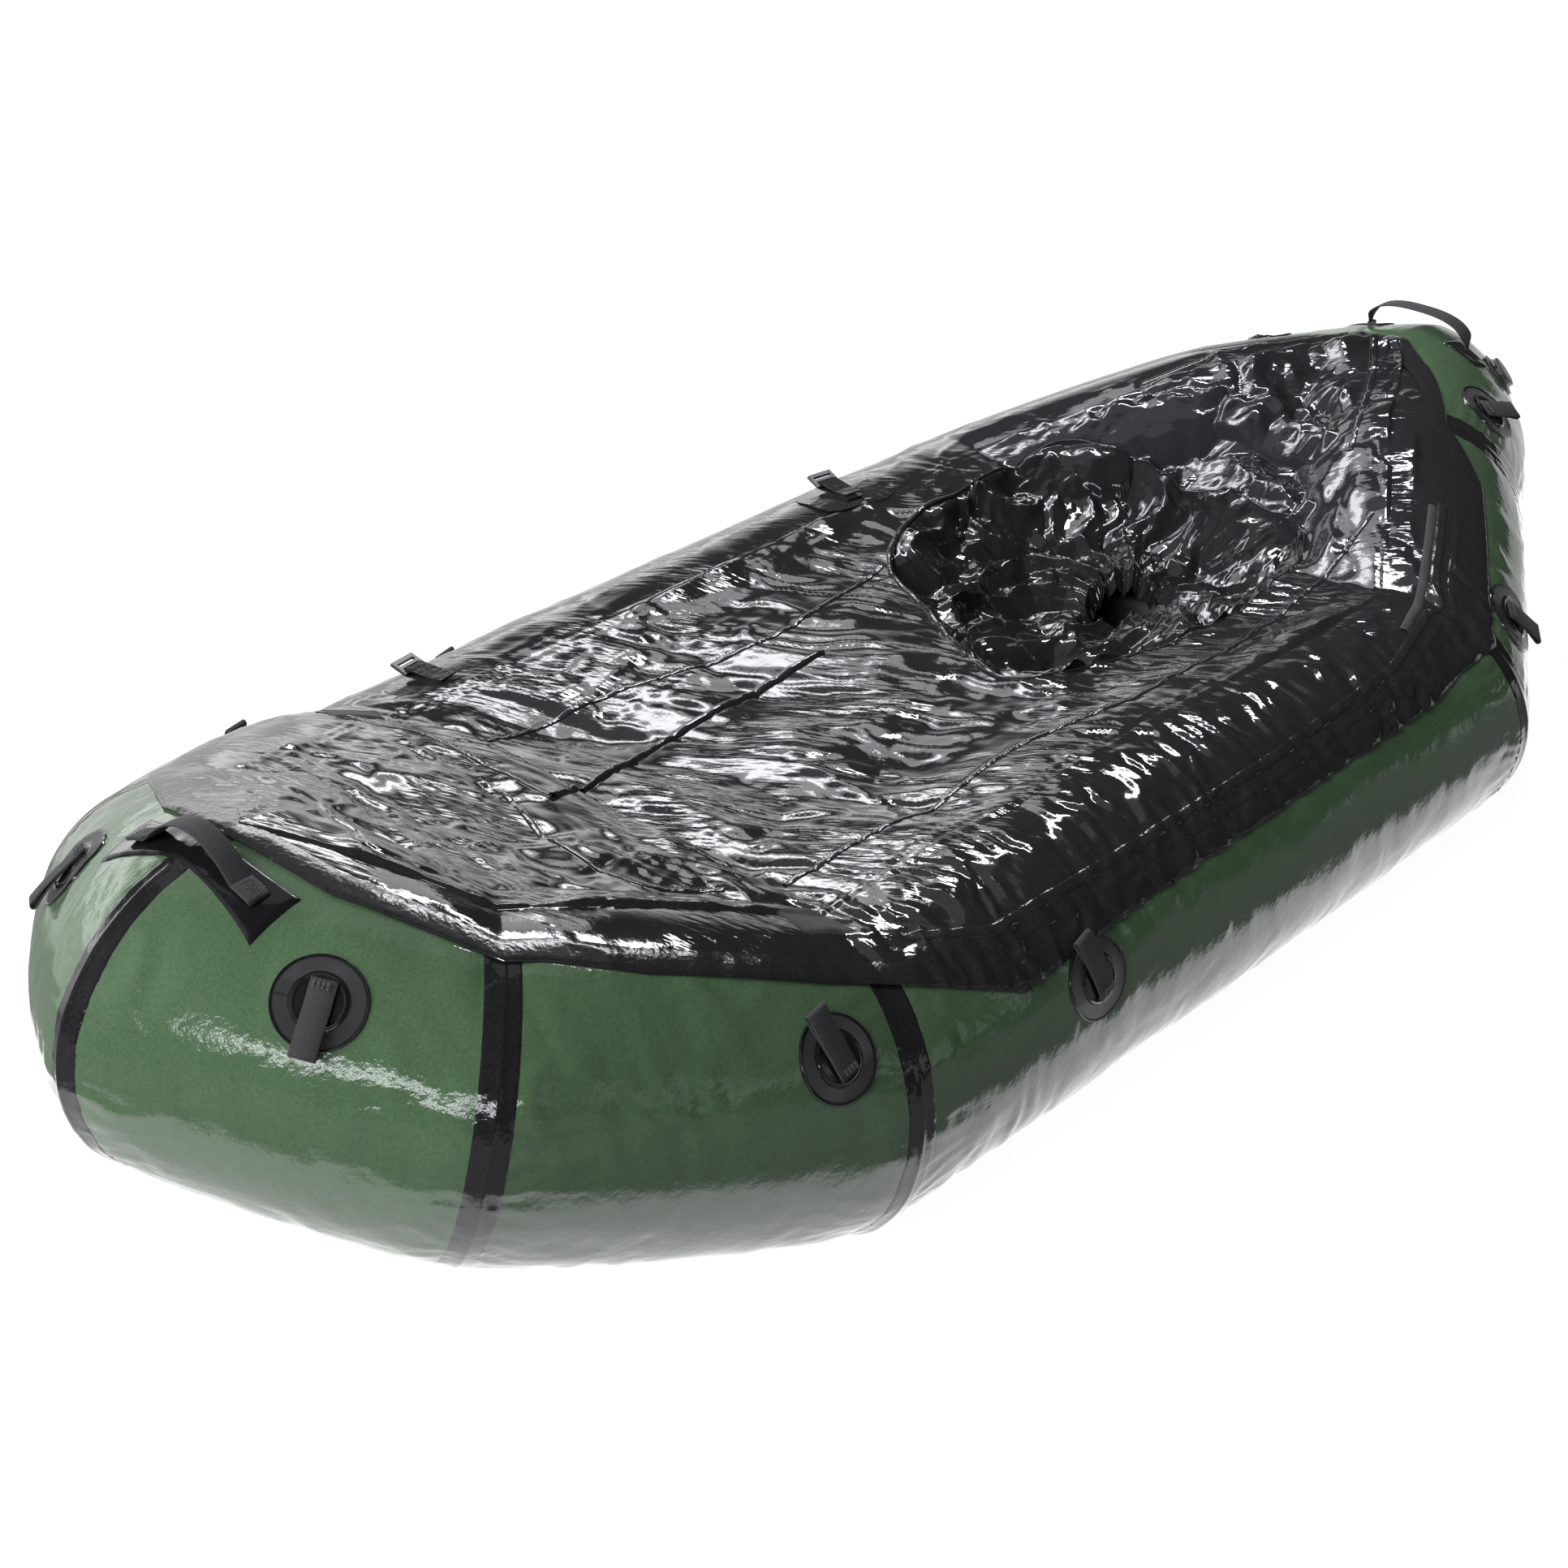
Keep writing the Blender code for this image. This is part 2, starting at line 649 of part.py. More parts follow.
def shift_end(points, row):
    """Pull a hatch row back by half the gap at the panel's two ends."""
    step = {FIRST_HATCH: -HATCH_GAP / 2, LAST_HATCH: HATCH_GAP / 2}.get(row, 0.0)
    return [point + (step, 0.0, 0.0) for point in points]


def mouth_shares(row):
    """Port rim, middle and starboard rim of a panel row."""
    index = max(0, row - FIRST_HATCH - len(CORNER_PLACES) - 1)
    _, port, starboard = HATCH_ROWS[index]
    return port, (port + starboard) / 2, starboard


def hatch_row(row):
    """A row of the opening panel, from the port flap edge to the fold."""
    where = ROWS[row]
    flap = line_angle(where, FLAP_LINE)
    port, middle, starboard = mouth_shares(row)
    points = tube_part(where, flap, CREST, FLAP_STEPS, 1.0)
    fold = fold_point(row) + (0.0, HATCH_GAP / 2, 0.0)
    between = (starboard - 1 + 2 * FOLD_SHARE) / 2
    for across in ((1 + port) / 2, port, middle, starboard, between):
        points.append(hatch_point(row, across))
    return shift_end([*points, fold], row)


def build_opening_deck():
    """The panel that opens to starboard and the pleated spray skirt hung in its mouth."""
    rows = [hatch_row(row) for row in range(FIRST_HATCH, LAST_HATCH + 1)]
    open_rows = range(FIRST_MOUTH - FIRST_HATCH, LAST_MOUTH - FIRST_HATCH)

    def keep(i, j):
        return not (i in open_rows and FLAP_STEPS + 2 <= j < FLAP_STEPS + 4)

    pivot = fold_point(FIRST_HATCH) + (0.0, 0.0, DECK_T)
    sheet("deck_panel", rows, DECK_T, True, DECK_BLACK, keep=keep, pivot=pivot)
    rims = []
    for row in range(FIRST_MOUTH, LAST_MOUTH + 1):
        rims.append([hatch_point(row, across) for across in mouth_shares(row)])
    starboard = [points[2] for points in rims]
    port = [points[0] for points in rims]
    build_skirt([rims[0][1], *starboard, rims[-1][1], *port[::-1]], pivot)


def rim_crossing(rim, turn):
    """Where a ray from the waist's middle crosses the mouth's edge."""
    centre = np.array((SKIRT_WAIST_X, SKIRT_WAIST_Y))
    ray = np.array((math.cos(turn), math.sin(turn)))
    for start, end in zip(rim, rim[1:] + rim[:1]):
        edge = end[:2] - start[:2]
        away = start[:2] - centre
        spread = ray[0] * edge[1] - ray[1] * edge[0]
        reach = (away[0] * edge[1] - away[1] * edge[0]) / spread
        share = (away[0] * ray[1] - away[1] * ray[0]) / spread
        if reach > 0 and 0 <= share < 1:
            point = start + (end - start) * share
            point[:2] -= ray * SKIRT_INSET
            return point
    return rim[0]


def build_skirt(rim, pivot):
    """A funnel of cloth from the mouth down to the waist, falling in pleats and clear of the tubes."""
    tree = ring_tree(SKIRT_CLEAR)
    turns = [math.tau * step / SKIRT_STEPS for step in range(SKIRT_STEPS)]
    top = [rim_crossing(rim, turn) for turn in turns]
    rings = [top]
    for share, drop, pleat in SKIRT_RINGS:
        ring = []
        for turn, start in zip(turns, top):
            ray = np.array((math.cos(turn), math.sin(turn)))
            waist = np.array((SKIRT_WAIST_X, SKIRT_WAIST_Y)) + ray * (SKIRT_WAIST_L / 2, SKIRT_WAIST_W / 2)
            flat = start[:2] + (waist - start[:2]) * share
            fold = SKIRT_FOLD * pleat * math.cos(SKIRT_FOLDS * turn)
            height = start[2] + (SKIRT_WAIST_Z - start[2]) * drop + fold
            hit = tree.ray_cast(Vector((*flat, HULL_W)), Vector((0.0, 0.0, -1.0)))[0]
            ring.append(np.array((*flat, max(height, hit[2]) if hit else height)))
        rings.append(ring)
    sheet("spray_skirt", rings, SKIRT_T, False, DECK_BLACK, wrap=True, pivot=pivot)


# Webbing, patches and fittings
def circle_laid(frame, radius, lift, steps=PATCH_STEPS):
    turns = [math.tau * step / steps for step in range(steps)]
    return [lay(frame, radius * math.cos(turn), radius * math.sin(turn), lift) for turn in turns]


def patch_rings(frame, lift):
    """Rings of a round patch with a raised round boss."""
    top = lift + PATCH_T
    return [
        circle_laid(frame, 0.0, lift),
        circle_laid(frame, PATCH_D / 4, lift),
        circle_laid(frame, PATCH_D / 2, lift),
        circle_laid(frame, PATCH_D / 2, top),
        circle_laid(frame, PATCH_BOSS_D / 2 + PATCH_T, top),
        circle_laid(frame, PATCH_BOSS_D / 2, top + PATCH_BOSS_H),
        circle_laid(frame, 0.0, top + PATCH_BOSS_H),
    ]


def loop_rows(frame, lie, lift):
    """Webbing doubled back on itself: out along the tube, round a small eye and back on top."""
    ahead = np.array((math.sin(lie), math.cos(lie)))
    across = np.array((ahead[1], -ahead[0]))
    root = -ahead * PATCH_BOSS_D * LOOP_ROOT_SHARE
    path = []
    for share in LOOP_SHARES:
        path.append((LOOP_L * share, LOOP_RISE * share**2))
    tip_height = LOOP_RISE + LOOP_EYE_R
    for turn in (-45.0, 0.0, 45.0):
        angle = math.radians(turn)
        path.append((LOOP_L + LOOP_EYE_R * math.cos(angle), tip_height + LOOP_EYE_R * math.sin(angle)))
    for share in LOOP_SHARES[::-1]:
        open_by = LOOP_PLY_GAP + (2 * LOOP_EYE_R - LOOP_PLY_GAP) * share**2
        path.append((LOOP_L * share, LOOP_RISE * share**2 + open_by))
    rows = []
    for along, height in path:
        row = []
        for half in (WEB_W / 2, -WEB_W / 2):
            place = root + ahead * along + across * half
            row.append(lay(frame, place[0], place[1], lift + WEB_T + height))
        rows.append(row)
    return rows


def build_patches():
    """Ten round lashing patches, each with its webbing loop."""
    for name, place, degrees, lie in PATCHES:
        for side_name, side in SIDES:
            frame = tube_frame(place, math.radians(degrees), side)
            closed(f"patch_{name}_{side_name}", patch_rings(frame, PATCH_LIFT), PATCH_BLACK)
            lift = PATCH_LIFT + PATCH_T + PATCH_BOSS_H + GAP
            rows = loop_rows(frame, math.radians(lie), lift)
            pivot = (rows[0][0] + rows[0][1]) / 2
            sheet(f"loop_{name}_{side_name}", rows, WEB_T, side > 0, WEBBING, pivot=pivot)


def laid_plate(frame, outline, lift, thickness):
    """Rings of a plate laid on the tube: its outline in the frame's plane, thickened outward."""
    outer = [(x, y) for x, y in outline]
    half = [(x / 2, y / 2) for x, y in outline]
    centre = [(0.0, 0.0)] * len(outline)
    rings = [[lay(frame, x, y, lift) for x, y in ring] for ring in (centre, half, outer)]
    rings += [[lay(frame, x, y, lift + thickness) for x, y in ring] for ring in (outer, half, centre)]
    return rings


def rounded_rectangle(length, width, radius, steps=3):
    """Outline of a rectangle with rounded corners, with the middle of each side marked."""
    outline = []
    for corner in range(4):
        sign_x = (1, -1, -1, 1)[corner]
        sign_y = (1, 1, -1, -1)[corner]
        for step in range(steps):
            turn = RIGHT_ANGLE * (corner + step / (steps - 1))
            outline.append((sign_x * (length / 2 - radius) + radius * math.cos(turn),
                            sign_y * (width / 2 - radius) + radius * math.sin(turn)))
        outline.append((0.0, sign_y * width / 2) if corner in (0, 2) else (sign_x * length / 2, 0.0))
    return outline


def build_bow_handle():
    """Bow-tie patch over the bow seam and the webbing handle sewn on it."""
    frame = level_frame(BOW_HANDLE_X, 0.0)
    lift = GAP + TAPE_T + PATCH_LIFT
    rows = []
    for across in BOW_PATCH_SHARES:
        grown = abs(across) ** 2
        half = (BOW_PATCH_WAIST_W + (BOW_PATCH_END_W - BOW_PATCH_WAIST_W) * grown) / 2
        y = across * BOW_PATCH_L / 2
        rows.append([lay(frame, share * half, y, lift) for share in (1.0, 0.33, -0.33, -1.0)])
    sheet("bow_handle_patch", rows, PATCH_T, True, PATCH_BLACK)
    sewn = lift + PATCH_T + 3 * GAP
    feet = BOW_HANDLE_L / 2 - BOW_HANDLE_TAB
    rows = []
    for share in (-1.0, -0.85, *HANDLE_SHARES, 0.85, 1.0):
        y = share * BOW_HANDLE_L / 2
        row = []
        for half in (WEB_W / 2, 0.0, -WEB_W / 2):
            point = lay(frame, half, y, sewn)
            if abs(y) < feet:
                foot = lay(frame, half, feet, sewn)[2]
                point = np.array((BOW_HANDLE_X + half, y, foot + BOW_HANDLE_H * (1 - (y / feet) ** 2)))
            row.append(point)
        rows.append(row)
    sheet("bow_handle", rows, WEB_T, True, WEBBING)


def build_stern_handle():
    """Two sewn pads and the webbing handle that swings between them."""
    lift = PATCH_LIFT
    y = STERN_HANDLE_L / 2
    outline = rounded_rectangle(STERN_PAD_W, STERN_PAD_L, STERN_PAD_W * 0.2)
    for side_name, side in SIDES:
        frame = level_frame(STERN_HANDLE_X, side * y)
        closed(f"stern_handle_pad_{side_name}", laid_plate(frame, outline, lift, PATCH_T), PATCH_BLACK)
    frame = level_frame(STERN_HANDLE_X, y)
    base = frame.translation[2] + lift + PATCH_T + GAP + STERN_FOOT_R + WEB_T * 0.5
    profile = [(y, -STERN_FOOT_R, 0.12), (y, -STERN_FOOT_R * 0.72, 0.70), (y, 0.0, 1.0)]
    for turn in (15.0, 30.0, 48.0, 68.0, 90.0):
        angle = math.radians(turn)
        height = STERN_HANDLE_H * math.sin(angle) ** 0.8
        profile.append((y * math.cos(angle) ** 0.8, height, None))
    half_path = []
    for across, height, foot in profile:
        if foot is None:
            flare = min(1.0, height / STERN_FLARE_H)
            half = STERN_FOOT_R + (WEB_W / 2 - STERN_FOOT_R) * flare
        else:
            half = STERN_FOOT_R * foot
        half_path.append((across, height, half))
    path = half_path + [(-across, height, half) for across, height, half in half_path[:-1]][::-1]
    rows = []
    for across, height, half in path:
        rows.append([np.array((STERN_HANDLE_X + half, across, base + height)),
                     np.array((STERN_HANDLE_X - half, across, base + height))])
    pivot = (STERN_HANDLE_X, 0.0, base)
    sheet("stern_handle", rows, WEB_T, False, WEBBING, pivot=pivot)


def box_mesh(name, size, centre, matrix):
    mesh = bmesh.new()
    bmesh.ops.create_cube(mesh, size=1.0)
    bmesh.ops.scale(mesh, vec=Vector(size), verts=mesh.verts)
    bmesh.ops.translate(mesh, vec=Vector(centre), verts=mesh.verts)
    mesh.transform(matrix)
    bmesh.ops.recalc_face_normals(mesh, faces=mesh.faces)
    data = bpy.data.meshes.new(name)
    mesh.to_mesh(data)
    mesh.free()
    return data


def build_anchors():
    """Two strap anchors on the starboard tube, each with a ladder-lock buckle."""
    for name, place in ANCHORS:
        frame = tube_frame(place, math.radians(ANCHOR_DEG), -1.0)
        lift = ANCHOR_LIFT
        outline = rounded_rectangle(ANCHOR_L, ANCHOR_W, ANCHOR_CORNER_R)
        plate = closed(f"anchor_{name}", laid_plate(frame, outline, lift, ANCHOR_T), PATCH_BLACK)
        bar = BUCKLE_T / 2 + BUCKLE_PLAY
        axis_y = -ANCHOR_TAB_L
        axis_z = lift + ANCHOR_T + bar + WEB_T * 0.7
        sink = WEB_T * 0.3
        path = [(ANCHOR_TAB_L * 0.8, lift + ANCHOR_T + WEB_T - sink), (0.0, lift + ANCHOR_T + WEB_T - sink)]
        for turn in (-90.0, -126.0, -162.0, -198.0, -234.0, -270.0):
            angle = math.radians(turn)
            path.append((axis_y + bar * math.cos(angle), axis_z + bar * math.sin(angle)))
        path += [(0.0, lift + ANCHOR_T + WEB_T - sink + LOOP_PLY_GAP + WEB_T),
                 (ANCHOR_TAB_L * 0.6, lift + ANCHOR_T + WEB_T - sink + LOOP_PLY_GAP + WEB_T)]
        rows = [[np.array(frame @ Vector((half, y, z))) for half in (WEB_W / 2, -WEB_W / 2)] for y, z in path]
        tab = sheet(f"anchor_tab_{name}", rows, WEB_T, True, WEBBING, collection=CUTTERS)
        combine(plate, tab, "UNION")
        axis = frame @ Vector((0.0, axis_y, axis_z))
        turned = frame.copy()
        turned.translation = axis
        turned = turned @ Matrix.Rotation(-math.radians(BUCKLE_TILT_DEG), 4, "X")
        bar_to_middle = BUCKLE_L / 2 - BUCKLE_T / 2
        body = box_mesh(f"buckle_{name}", (BUCKLE_W, BUCKLE_L, BUCKLE_T), (0.0, -bar_to_middle, 0.0), turned)
        buckle = add_object(f"buckle_{name}", body, BUCKLE_BLACK, None, axis)
        slot_w = BUCKLE_W - 2 * BUCKLE_SIDE
        for index, start in enumerate((BUCKLE_T / 2, BUCKLE_T * 1.5 + BUCKLE_SLOT)):
            size = (slot_w, BUCKLE_SLOT, BUCKLE_T * 2)
            slot = box_mesh("slot", size, (0.0, -start - BUCKLE_SLOT / 2, 0.0), turned)
            combine(buckle, add_object(f"slot_{name}_{index}", slot, BUCKLE_BLACK, CUTTERS), "DIFFERENCE")


# Seat and backrest
def cushion(name, size, centre, pivot, finish, curve=0.0):
    """An inflated pad: a ball squared off towards a box, with its long side bent by curve."""
    mesh = bmesh.new()
    bmesh.ops.create_uvsphere(mesh, u_segments=28, v_segments=14, radius=1.0)
    for vertex in mesh.verts:
        x, y, z = vertex.co
        flat = math.hypot(x, y)
        plan = (abs(x) ** PAD_PLAN_POWER + abs(y) ** PAD_PLAN_POWER) ** (1 / PAD_PLAN_POWER)
        grow = flat / plan if plan > WELD else 1.0
        swell = (flat**PAD_SIDE_POWER + abs(z) ** PAD_SIDE_POWER) ** (1 / PAD_SIDE_POWER)
        vertex.co = Vector((x * grow / swell, y * grow / swell, z / swell))
        vertex.co = Vector((vertex.co.x * size[0] / 2, vertex.co.y * size[1] / 2, vertex.co.z * size[2] / 2))
        vertex.co.x += curve * (2 * vertex.co.y / size[1]) ** 2
        vertex.co += Vector(centre)
    data = bpy.data.meshes.new(name)
    mesh.to_mesh(data)
    mesh.free()
    return add_object(name, data, finish, None, pivot)


def build_seat():
    """Inflated seat on the floor and the backrest that folds down on it."""
    seat_z = FLOOR_T + GAP + SEAT_H / 2
    cushion("seat", (SEAT_L, SEAT_W, SEAT_H), (SEAT_X, 0.0, seat_z), None, PAD_BLACK)
    along = abs(BACK_X - SEAT_X) / (SEAT_L / 2)
    crown = (1 - along**PAD_SIDE_POWER) ** (1 / PAD_SIDE_POWER)
    foot = seat_z + SEAT_H / 2 * crown + GAP
    pivot = (BACK_X + BACK_T / 2 + BACK_CURVE, 0.0, foot)
    cushion("backrest", (BACK_T, BACK_W, BACK_H), (BACK_X, 0.0, foot + BACK_H / 2), pivot, PAD_BLACK, BACK_CURVE)


# Valves
def ring_level(frame, radius, height, steps=PATCH_STEPS):
    turns = [math.tau * step / steps for step in range(steps)]
    return [np.array(frame @ Vector((radius * math.cos(turn), radius * math.sin(turn), height))) for turn in turns]


def build_main_valve():
    """Filling valve near the stern with a hinged cap."""
    frame = tube_frame(VALVE_PLACE, math.radians(VALVE_DEG), 1.0)
    top = PATCH_LIFT + VALVE_FLANGE_T
    neck_top = top + VALVE_NECK_H
    rings = [
        circle_laid(frame, 0.0, PATCH_LIFT),
        circle_laid(frame, VALVE_FLANGE_D / 4, PATCH_LIFT),
        circle_laid(frame, VALVE_FLANGE_D / 2, PATCH_LIFT),
        circle_laid(frame, VALVE_FLANGE_D / 2, top),
        circle_laid(frame, VALVE_NECK_D / 2, top),
        ring_level(frame, VALVE_NECK_D / 2, neck_top),
        ring_level(frame, VALVE_BORE_D / 2, neck_top),
        ring_level(frame, VALVE_BORE_D / 2, top + VALVE_NECK_H * 0.3),
        ring_level(frame, 0.0, top + VALVE_NECK_H * 0.3),
    ]
    closed("main_valve_base", rings, VALVE_BLACK)
    skirt = top + GAP * 2
    inner_top = neck_top + GAP
    cap_top = inner_top + VALVE_CAP_T
    bore = VALVE_NECK_D / 2 + GAP * 2
    rings = [
        ring_level(frame, 0.0, inner_top),
        ring_level(frame, bore, inner_top),
        ring_level(frame, bore, skirt),
        ring_level(frame, VALVE_CAP_D / 2, skirt),
        ring_level(frame, VALVE_CAP_D / 2, cap_top - VALVE_CAP_T * 0.5),
        ring_level(frame, VALVE_CAP_D / 2 - VALVE_CAP_T, cap_top),
        ring_level(frame, 0.0, cap_top),
    ]
    pivot = frame @ Vector((0.0, VALVE_STRAP_REACH, skirt + VALVE_STRAP_T / 2))
    cap = closed("main_valve_cap", rings, VALVE_BLACK, pivot=pivot)
    near = bore + VALVE_CAP_T * 0.5
    reach = VALVE_STRAP_REACH - near
    middle = (0.0, near + reach / 2, skirt + VALVE_STRAP_T / 2)
    strap = box_mesh("strap", (VALVE_STRAP_W, reach, VALVE_STRAP_T), middle, frame)
    combine(cap, add_object("cap_strap", strap, VALVE_BLACK, CUTTERS), "UNION")


def build_topup_valve():
    """Small breath valve on the other side with a twist nozzle."""
    frame = tube_frame(VALVE_PLACE, math.radians(VALVE_DEG), -1.0)
    top = PATCH_LIFT + TOPUP_FLANGE_T
    rings = [
        circle_laid(frame, 0.0, PATCH_LIFT),
        circle_laid(frame, TOPUP_FLANGE_D / 2, PATCH_LIFT),
        circle_laid(frame, TOPUP_FLANGE_D / 2, top),
        circle_laid(frame, TOPUP_POST_D / 2, top),
        ring_level(frame, TOPUP_POST_D / 2, top + TOPUP_POST_H),
        ring_level(frame, 0.0, top + TOPUP_POST_H),
    ]
    closed("topup_valve_base", rings, VALVE_BLACK)
    low = top + GAP
    bore = TOPUP_POST_D / 2 + GAP
    rings = [
        ring_level(frame, bore, low),
        ring_level(frame, TOPUP_COLLAR_D / 2, low),
        ring_level(frame, TOPUP_COLLAR_D / 2, low + TOPUP_COLLAR_H),
        ring_level(frame, TOPUP_LIP_D / 2 - TOPUP_WALL / 2, low + TOPUP_COLLAR_H * 1.1),
        ring_level(frame, TOPUP_LIP_D / 2 - TOPUP_WALL / 2, low + TOPUP_H - TOPUP_WALL),
        ring_level(frame, TOPUP_LIP_D / 2, low + TOPUP_H),
        ring_level(frame, bore, low + TOPUP_H),
        ring_level(frame, bore, low),
    ]
    nozzle = closed("topup_valve_nozzle", rings, VALVE_BLACK, pivot=frame @ Vector((0.0, 0.0, low)))
    for index, sign in enumerate((1.0, -1.0)):
        near = (TOPUP_COLLAR_D + TOPUP_POST_D) / 4
        reach = TOPUP_WING_L / 2 - near
        middle = (sign * (near + reach / 2), 0.0, low + TOPUP_COLLAR_H / 2)
        wing = box_mesh("wing", (reach, TOPUP_WING_W, TOPUP_COLLAR_H * 0.7), middle, frame)
        combine(nozzle, add_object(f"nozzle_wing_{index}", wing, VALVE_BLACK, CUTTERS), "UNION")


def main():
    build_panels()
    build_tapes()
    build_floor()
    build_fixed_deck()
    build_opening_deck()
    build_patches()
    build_bow_handle()
    build_stern_handle()
    build_anchors()
    build_seat()
    build_main_valve()
    build_topup_valve()


clear_scene()
PARTS = new_collection("packraft")
CUTTERS = new_collection("cutters")
CUTTERS.hide_render = True
SURFACE = ring_tree(0.0)
CREST = math.radians(CREST_DEG)
HATCH_PLANES = [at_x(SPLIT_X - HATCH_L * share) for share, _, _ in HATCH_ROWS]
HATCH_PLANES[AFT_SEAM_ROW] = at_place(float(len(PANEL_NAMES) - 1))
ROWS = [at_place(place) for place in BOW_ROW_PLACES]
FIRST_HATCH = len(ROWS)
ROWS += [at_x(SPLIT_X)] + [at_place(place) for place in CORNER_PLACES] + HATCH_PLANES
LAST_HATCH = len(ROWS) - 1
FIRST_MOUTH, LAST_MOUTH = [LAST_HATCH + 1 - len(HATCH_ROWS) + row for row in MOUTH_ROWS]
FOLD_END_ROW = LAST_HATCH + 1 - len(HATCH_ROWS) + AFT_SEAM_ROW
ROWS += [at_place(place) for place in STERN_ROW_PLACES]
CRESTS, SPAN_SHARES, HEIGHTS = stretch_deck(ROWS)
TUBE_GREEN = make_material("tube_green", (0.035, 0.085, 0.040), 0.22)
TAPE_BLACK = make_material("tape_black", (0.012, 0.012, 0.013), 0.30)
DECK_BLACK = make_material("deck_black", (0.014, 0.014, 0.016), 0.28)
FLOOR_GREY = make_material("floor_grey", (0.05, 0.05, 0.055), 0.55)
PATCH_BLACK = make_material("patch_black", (0.012, 0.012, 0.013), 0.38)
WEBBING = make_material("webbing", (0.022, 0.022, 0.024), 0.80)
BUCKLE_BLACK = make_material("buckle_black", (0.015, 0.015, 0.016), 0.40)
PAD_BLACK = make_material("pad_black", (0.020, 0.020, 0.022), 0.55)
VALVE_BLACK = make_material("valve_black", (0.014, 0.014, 0.015), 0.35)
main()
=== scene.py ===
"""Packraft: the looks of the boat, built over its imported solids, with its studio and camera.

Metres, +X to the bow, +Y to port, +Z up. The tube ring repeats the sizes of the part's source.
"""
import math

import bmesh
import bpy
import numpy as np
from mathutils import Matrix, Vector
from mathutils.bvhtree import BVHTree


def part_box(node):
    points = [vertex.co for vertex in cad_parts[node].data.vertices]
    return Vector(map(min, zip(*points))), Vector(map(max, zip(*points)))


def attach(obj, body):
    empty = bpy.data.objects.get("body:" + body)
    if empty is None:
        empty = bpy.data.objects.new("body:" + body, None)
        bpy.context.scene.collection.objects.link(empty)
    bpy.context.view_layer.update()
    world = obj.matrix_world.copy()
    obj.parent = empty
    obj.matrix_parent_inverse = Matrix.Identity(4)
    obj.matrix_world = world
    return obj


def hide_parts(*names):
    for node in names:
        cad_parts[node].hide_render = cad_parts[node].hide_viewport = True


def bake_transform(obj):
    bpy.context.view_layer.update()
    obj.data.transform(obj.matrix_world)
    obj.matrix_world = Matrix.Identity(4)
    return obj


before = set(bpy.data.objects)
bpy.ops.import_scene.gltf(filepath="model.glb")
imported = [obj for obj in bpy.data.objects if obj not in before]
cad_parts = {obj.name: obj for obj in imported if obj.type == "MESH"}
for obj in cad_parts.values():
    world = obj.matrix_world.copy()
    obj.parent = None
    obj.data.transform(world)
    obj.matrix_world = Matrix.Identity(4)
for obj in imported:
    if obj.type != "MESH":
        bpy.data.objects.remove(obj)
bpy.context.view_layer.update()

# Hull sizes, as in the part's source
LENGTH = 2.35
HULL_W = 0.942
TUBE_D = np.array((0.330, 0.330, 0.320, 0.306, 0.306))
RISE = np.array((0.167, 0.095, 0.0, 0.0, 0.088))
STERN_RISE = 0.096
STERN_CROTCH = 0.415
KEEL_GAP = 0.0021
SWELL = np.array((0.016, 0.016, 0.004, 0.006, 0.0))
SWELL_MIDDLE = math.radians(20.0)
SWELL_NARROW = 0.82
SEAM_X = (1.0, 0.826, 0.481, -0.460, -0.734, -1.0)
SEAM_Y = (0.0, 0.667, 1.0, 0.992, 0.548, 0.0)
FULLNESS = 0.40
TAPE_W = 0.035
DECK_LIFT = 0.0022
DECK_SAG = 0.016
STERN_SAG = 0.034
DRAPE = 0.003
SPLIT_X = SEAM_X[2] * LENGTH / 2 - 0.0652
HATCH_L = SPLIT_X - SEAM_X[3] * LENGTH / 2 + 0.1195
CREST = math.radians(100.0)
FOLD_SHARE = 0.035
WAIST = np.array((-0.385, 0.005))
WAIST_HALF = np.array((0.066, 0.050))
WAIST_Z = 0.236
EDGE_LINE = ((0.0, 91.0), (0.22, 84.0), (0.48, 75.5), (0.84, 72.5), (1.10, 70.5), (1.36, 63.5),
             (1.82, 59.0), (2.00, 59.0), (2.04, 51.5), (2.15, 31.5), (2.25, 34.5), (2.34, 36.0),
             (2.61, 37.5), (2.85, 39.0), (2.93, 44.5), (3.21, 50.5), (3.73, 53.0), (3.98, 70.0),
             (4.50, 87.0), (5.0, 96.0))
FLAP_LINE = ((2.03, 71.0), (2.14, 52.5), (2.34, 52.0), (2.60, 52.5), (2.84, 58.0), (2.97, 71.0),
             (3.10, 74.0), (4.0, 66.0))
BOW_ROWS = (0.0, 0.17, 0.333, 0.667, 1.0, 1.333, 1.667, 2.0)
CORNER_ROWS = (2.075, 2.11, 2.15, 2.25)
HATCH_SHARES = (0.275, 0.430, 0.515, 0.620, 0.740, None, 0.930, 1.0)
STERN_ROWS = (3.72, 3.86, 4.0, 4.15, 4.30, 4.60, 4.85, 5.0)
FIRST_HATCH, LAST_HATCH, LAST_ROW = 8, 20, 28

WEB_W = 0.025
WEB_T = 0.0018
PATCH_R = 0.0435
PATCHES = (
    ("bow", 0.60, 43.5, 180.0),
    ("shoulder", 1.82, 34.5, 25.0),
    ("mid", 2.25, 21.0, 20.0),
    ("quarter", 3.21, 34.0, -150.0),
    ("stern", 4.16, 50.0, -150.0),
)
SIDES = (("port", 1.0), ("starboard", -1.0))
PANELS = ("bow", "shoulder", "side", "quarter")
SEAMS = ("bow", "shoulder", "fore", "aft", "quarter")


# Numbers
def smooth(low, high, value):
    """0 below low, 1 above high and an easy curve between."""
    t = np.clip((np.asarray(value, float) - low) / (high - low), 0.0, 1.0)
    return t * t * (3 - 2 * t)


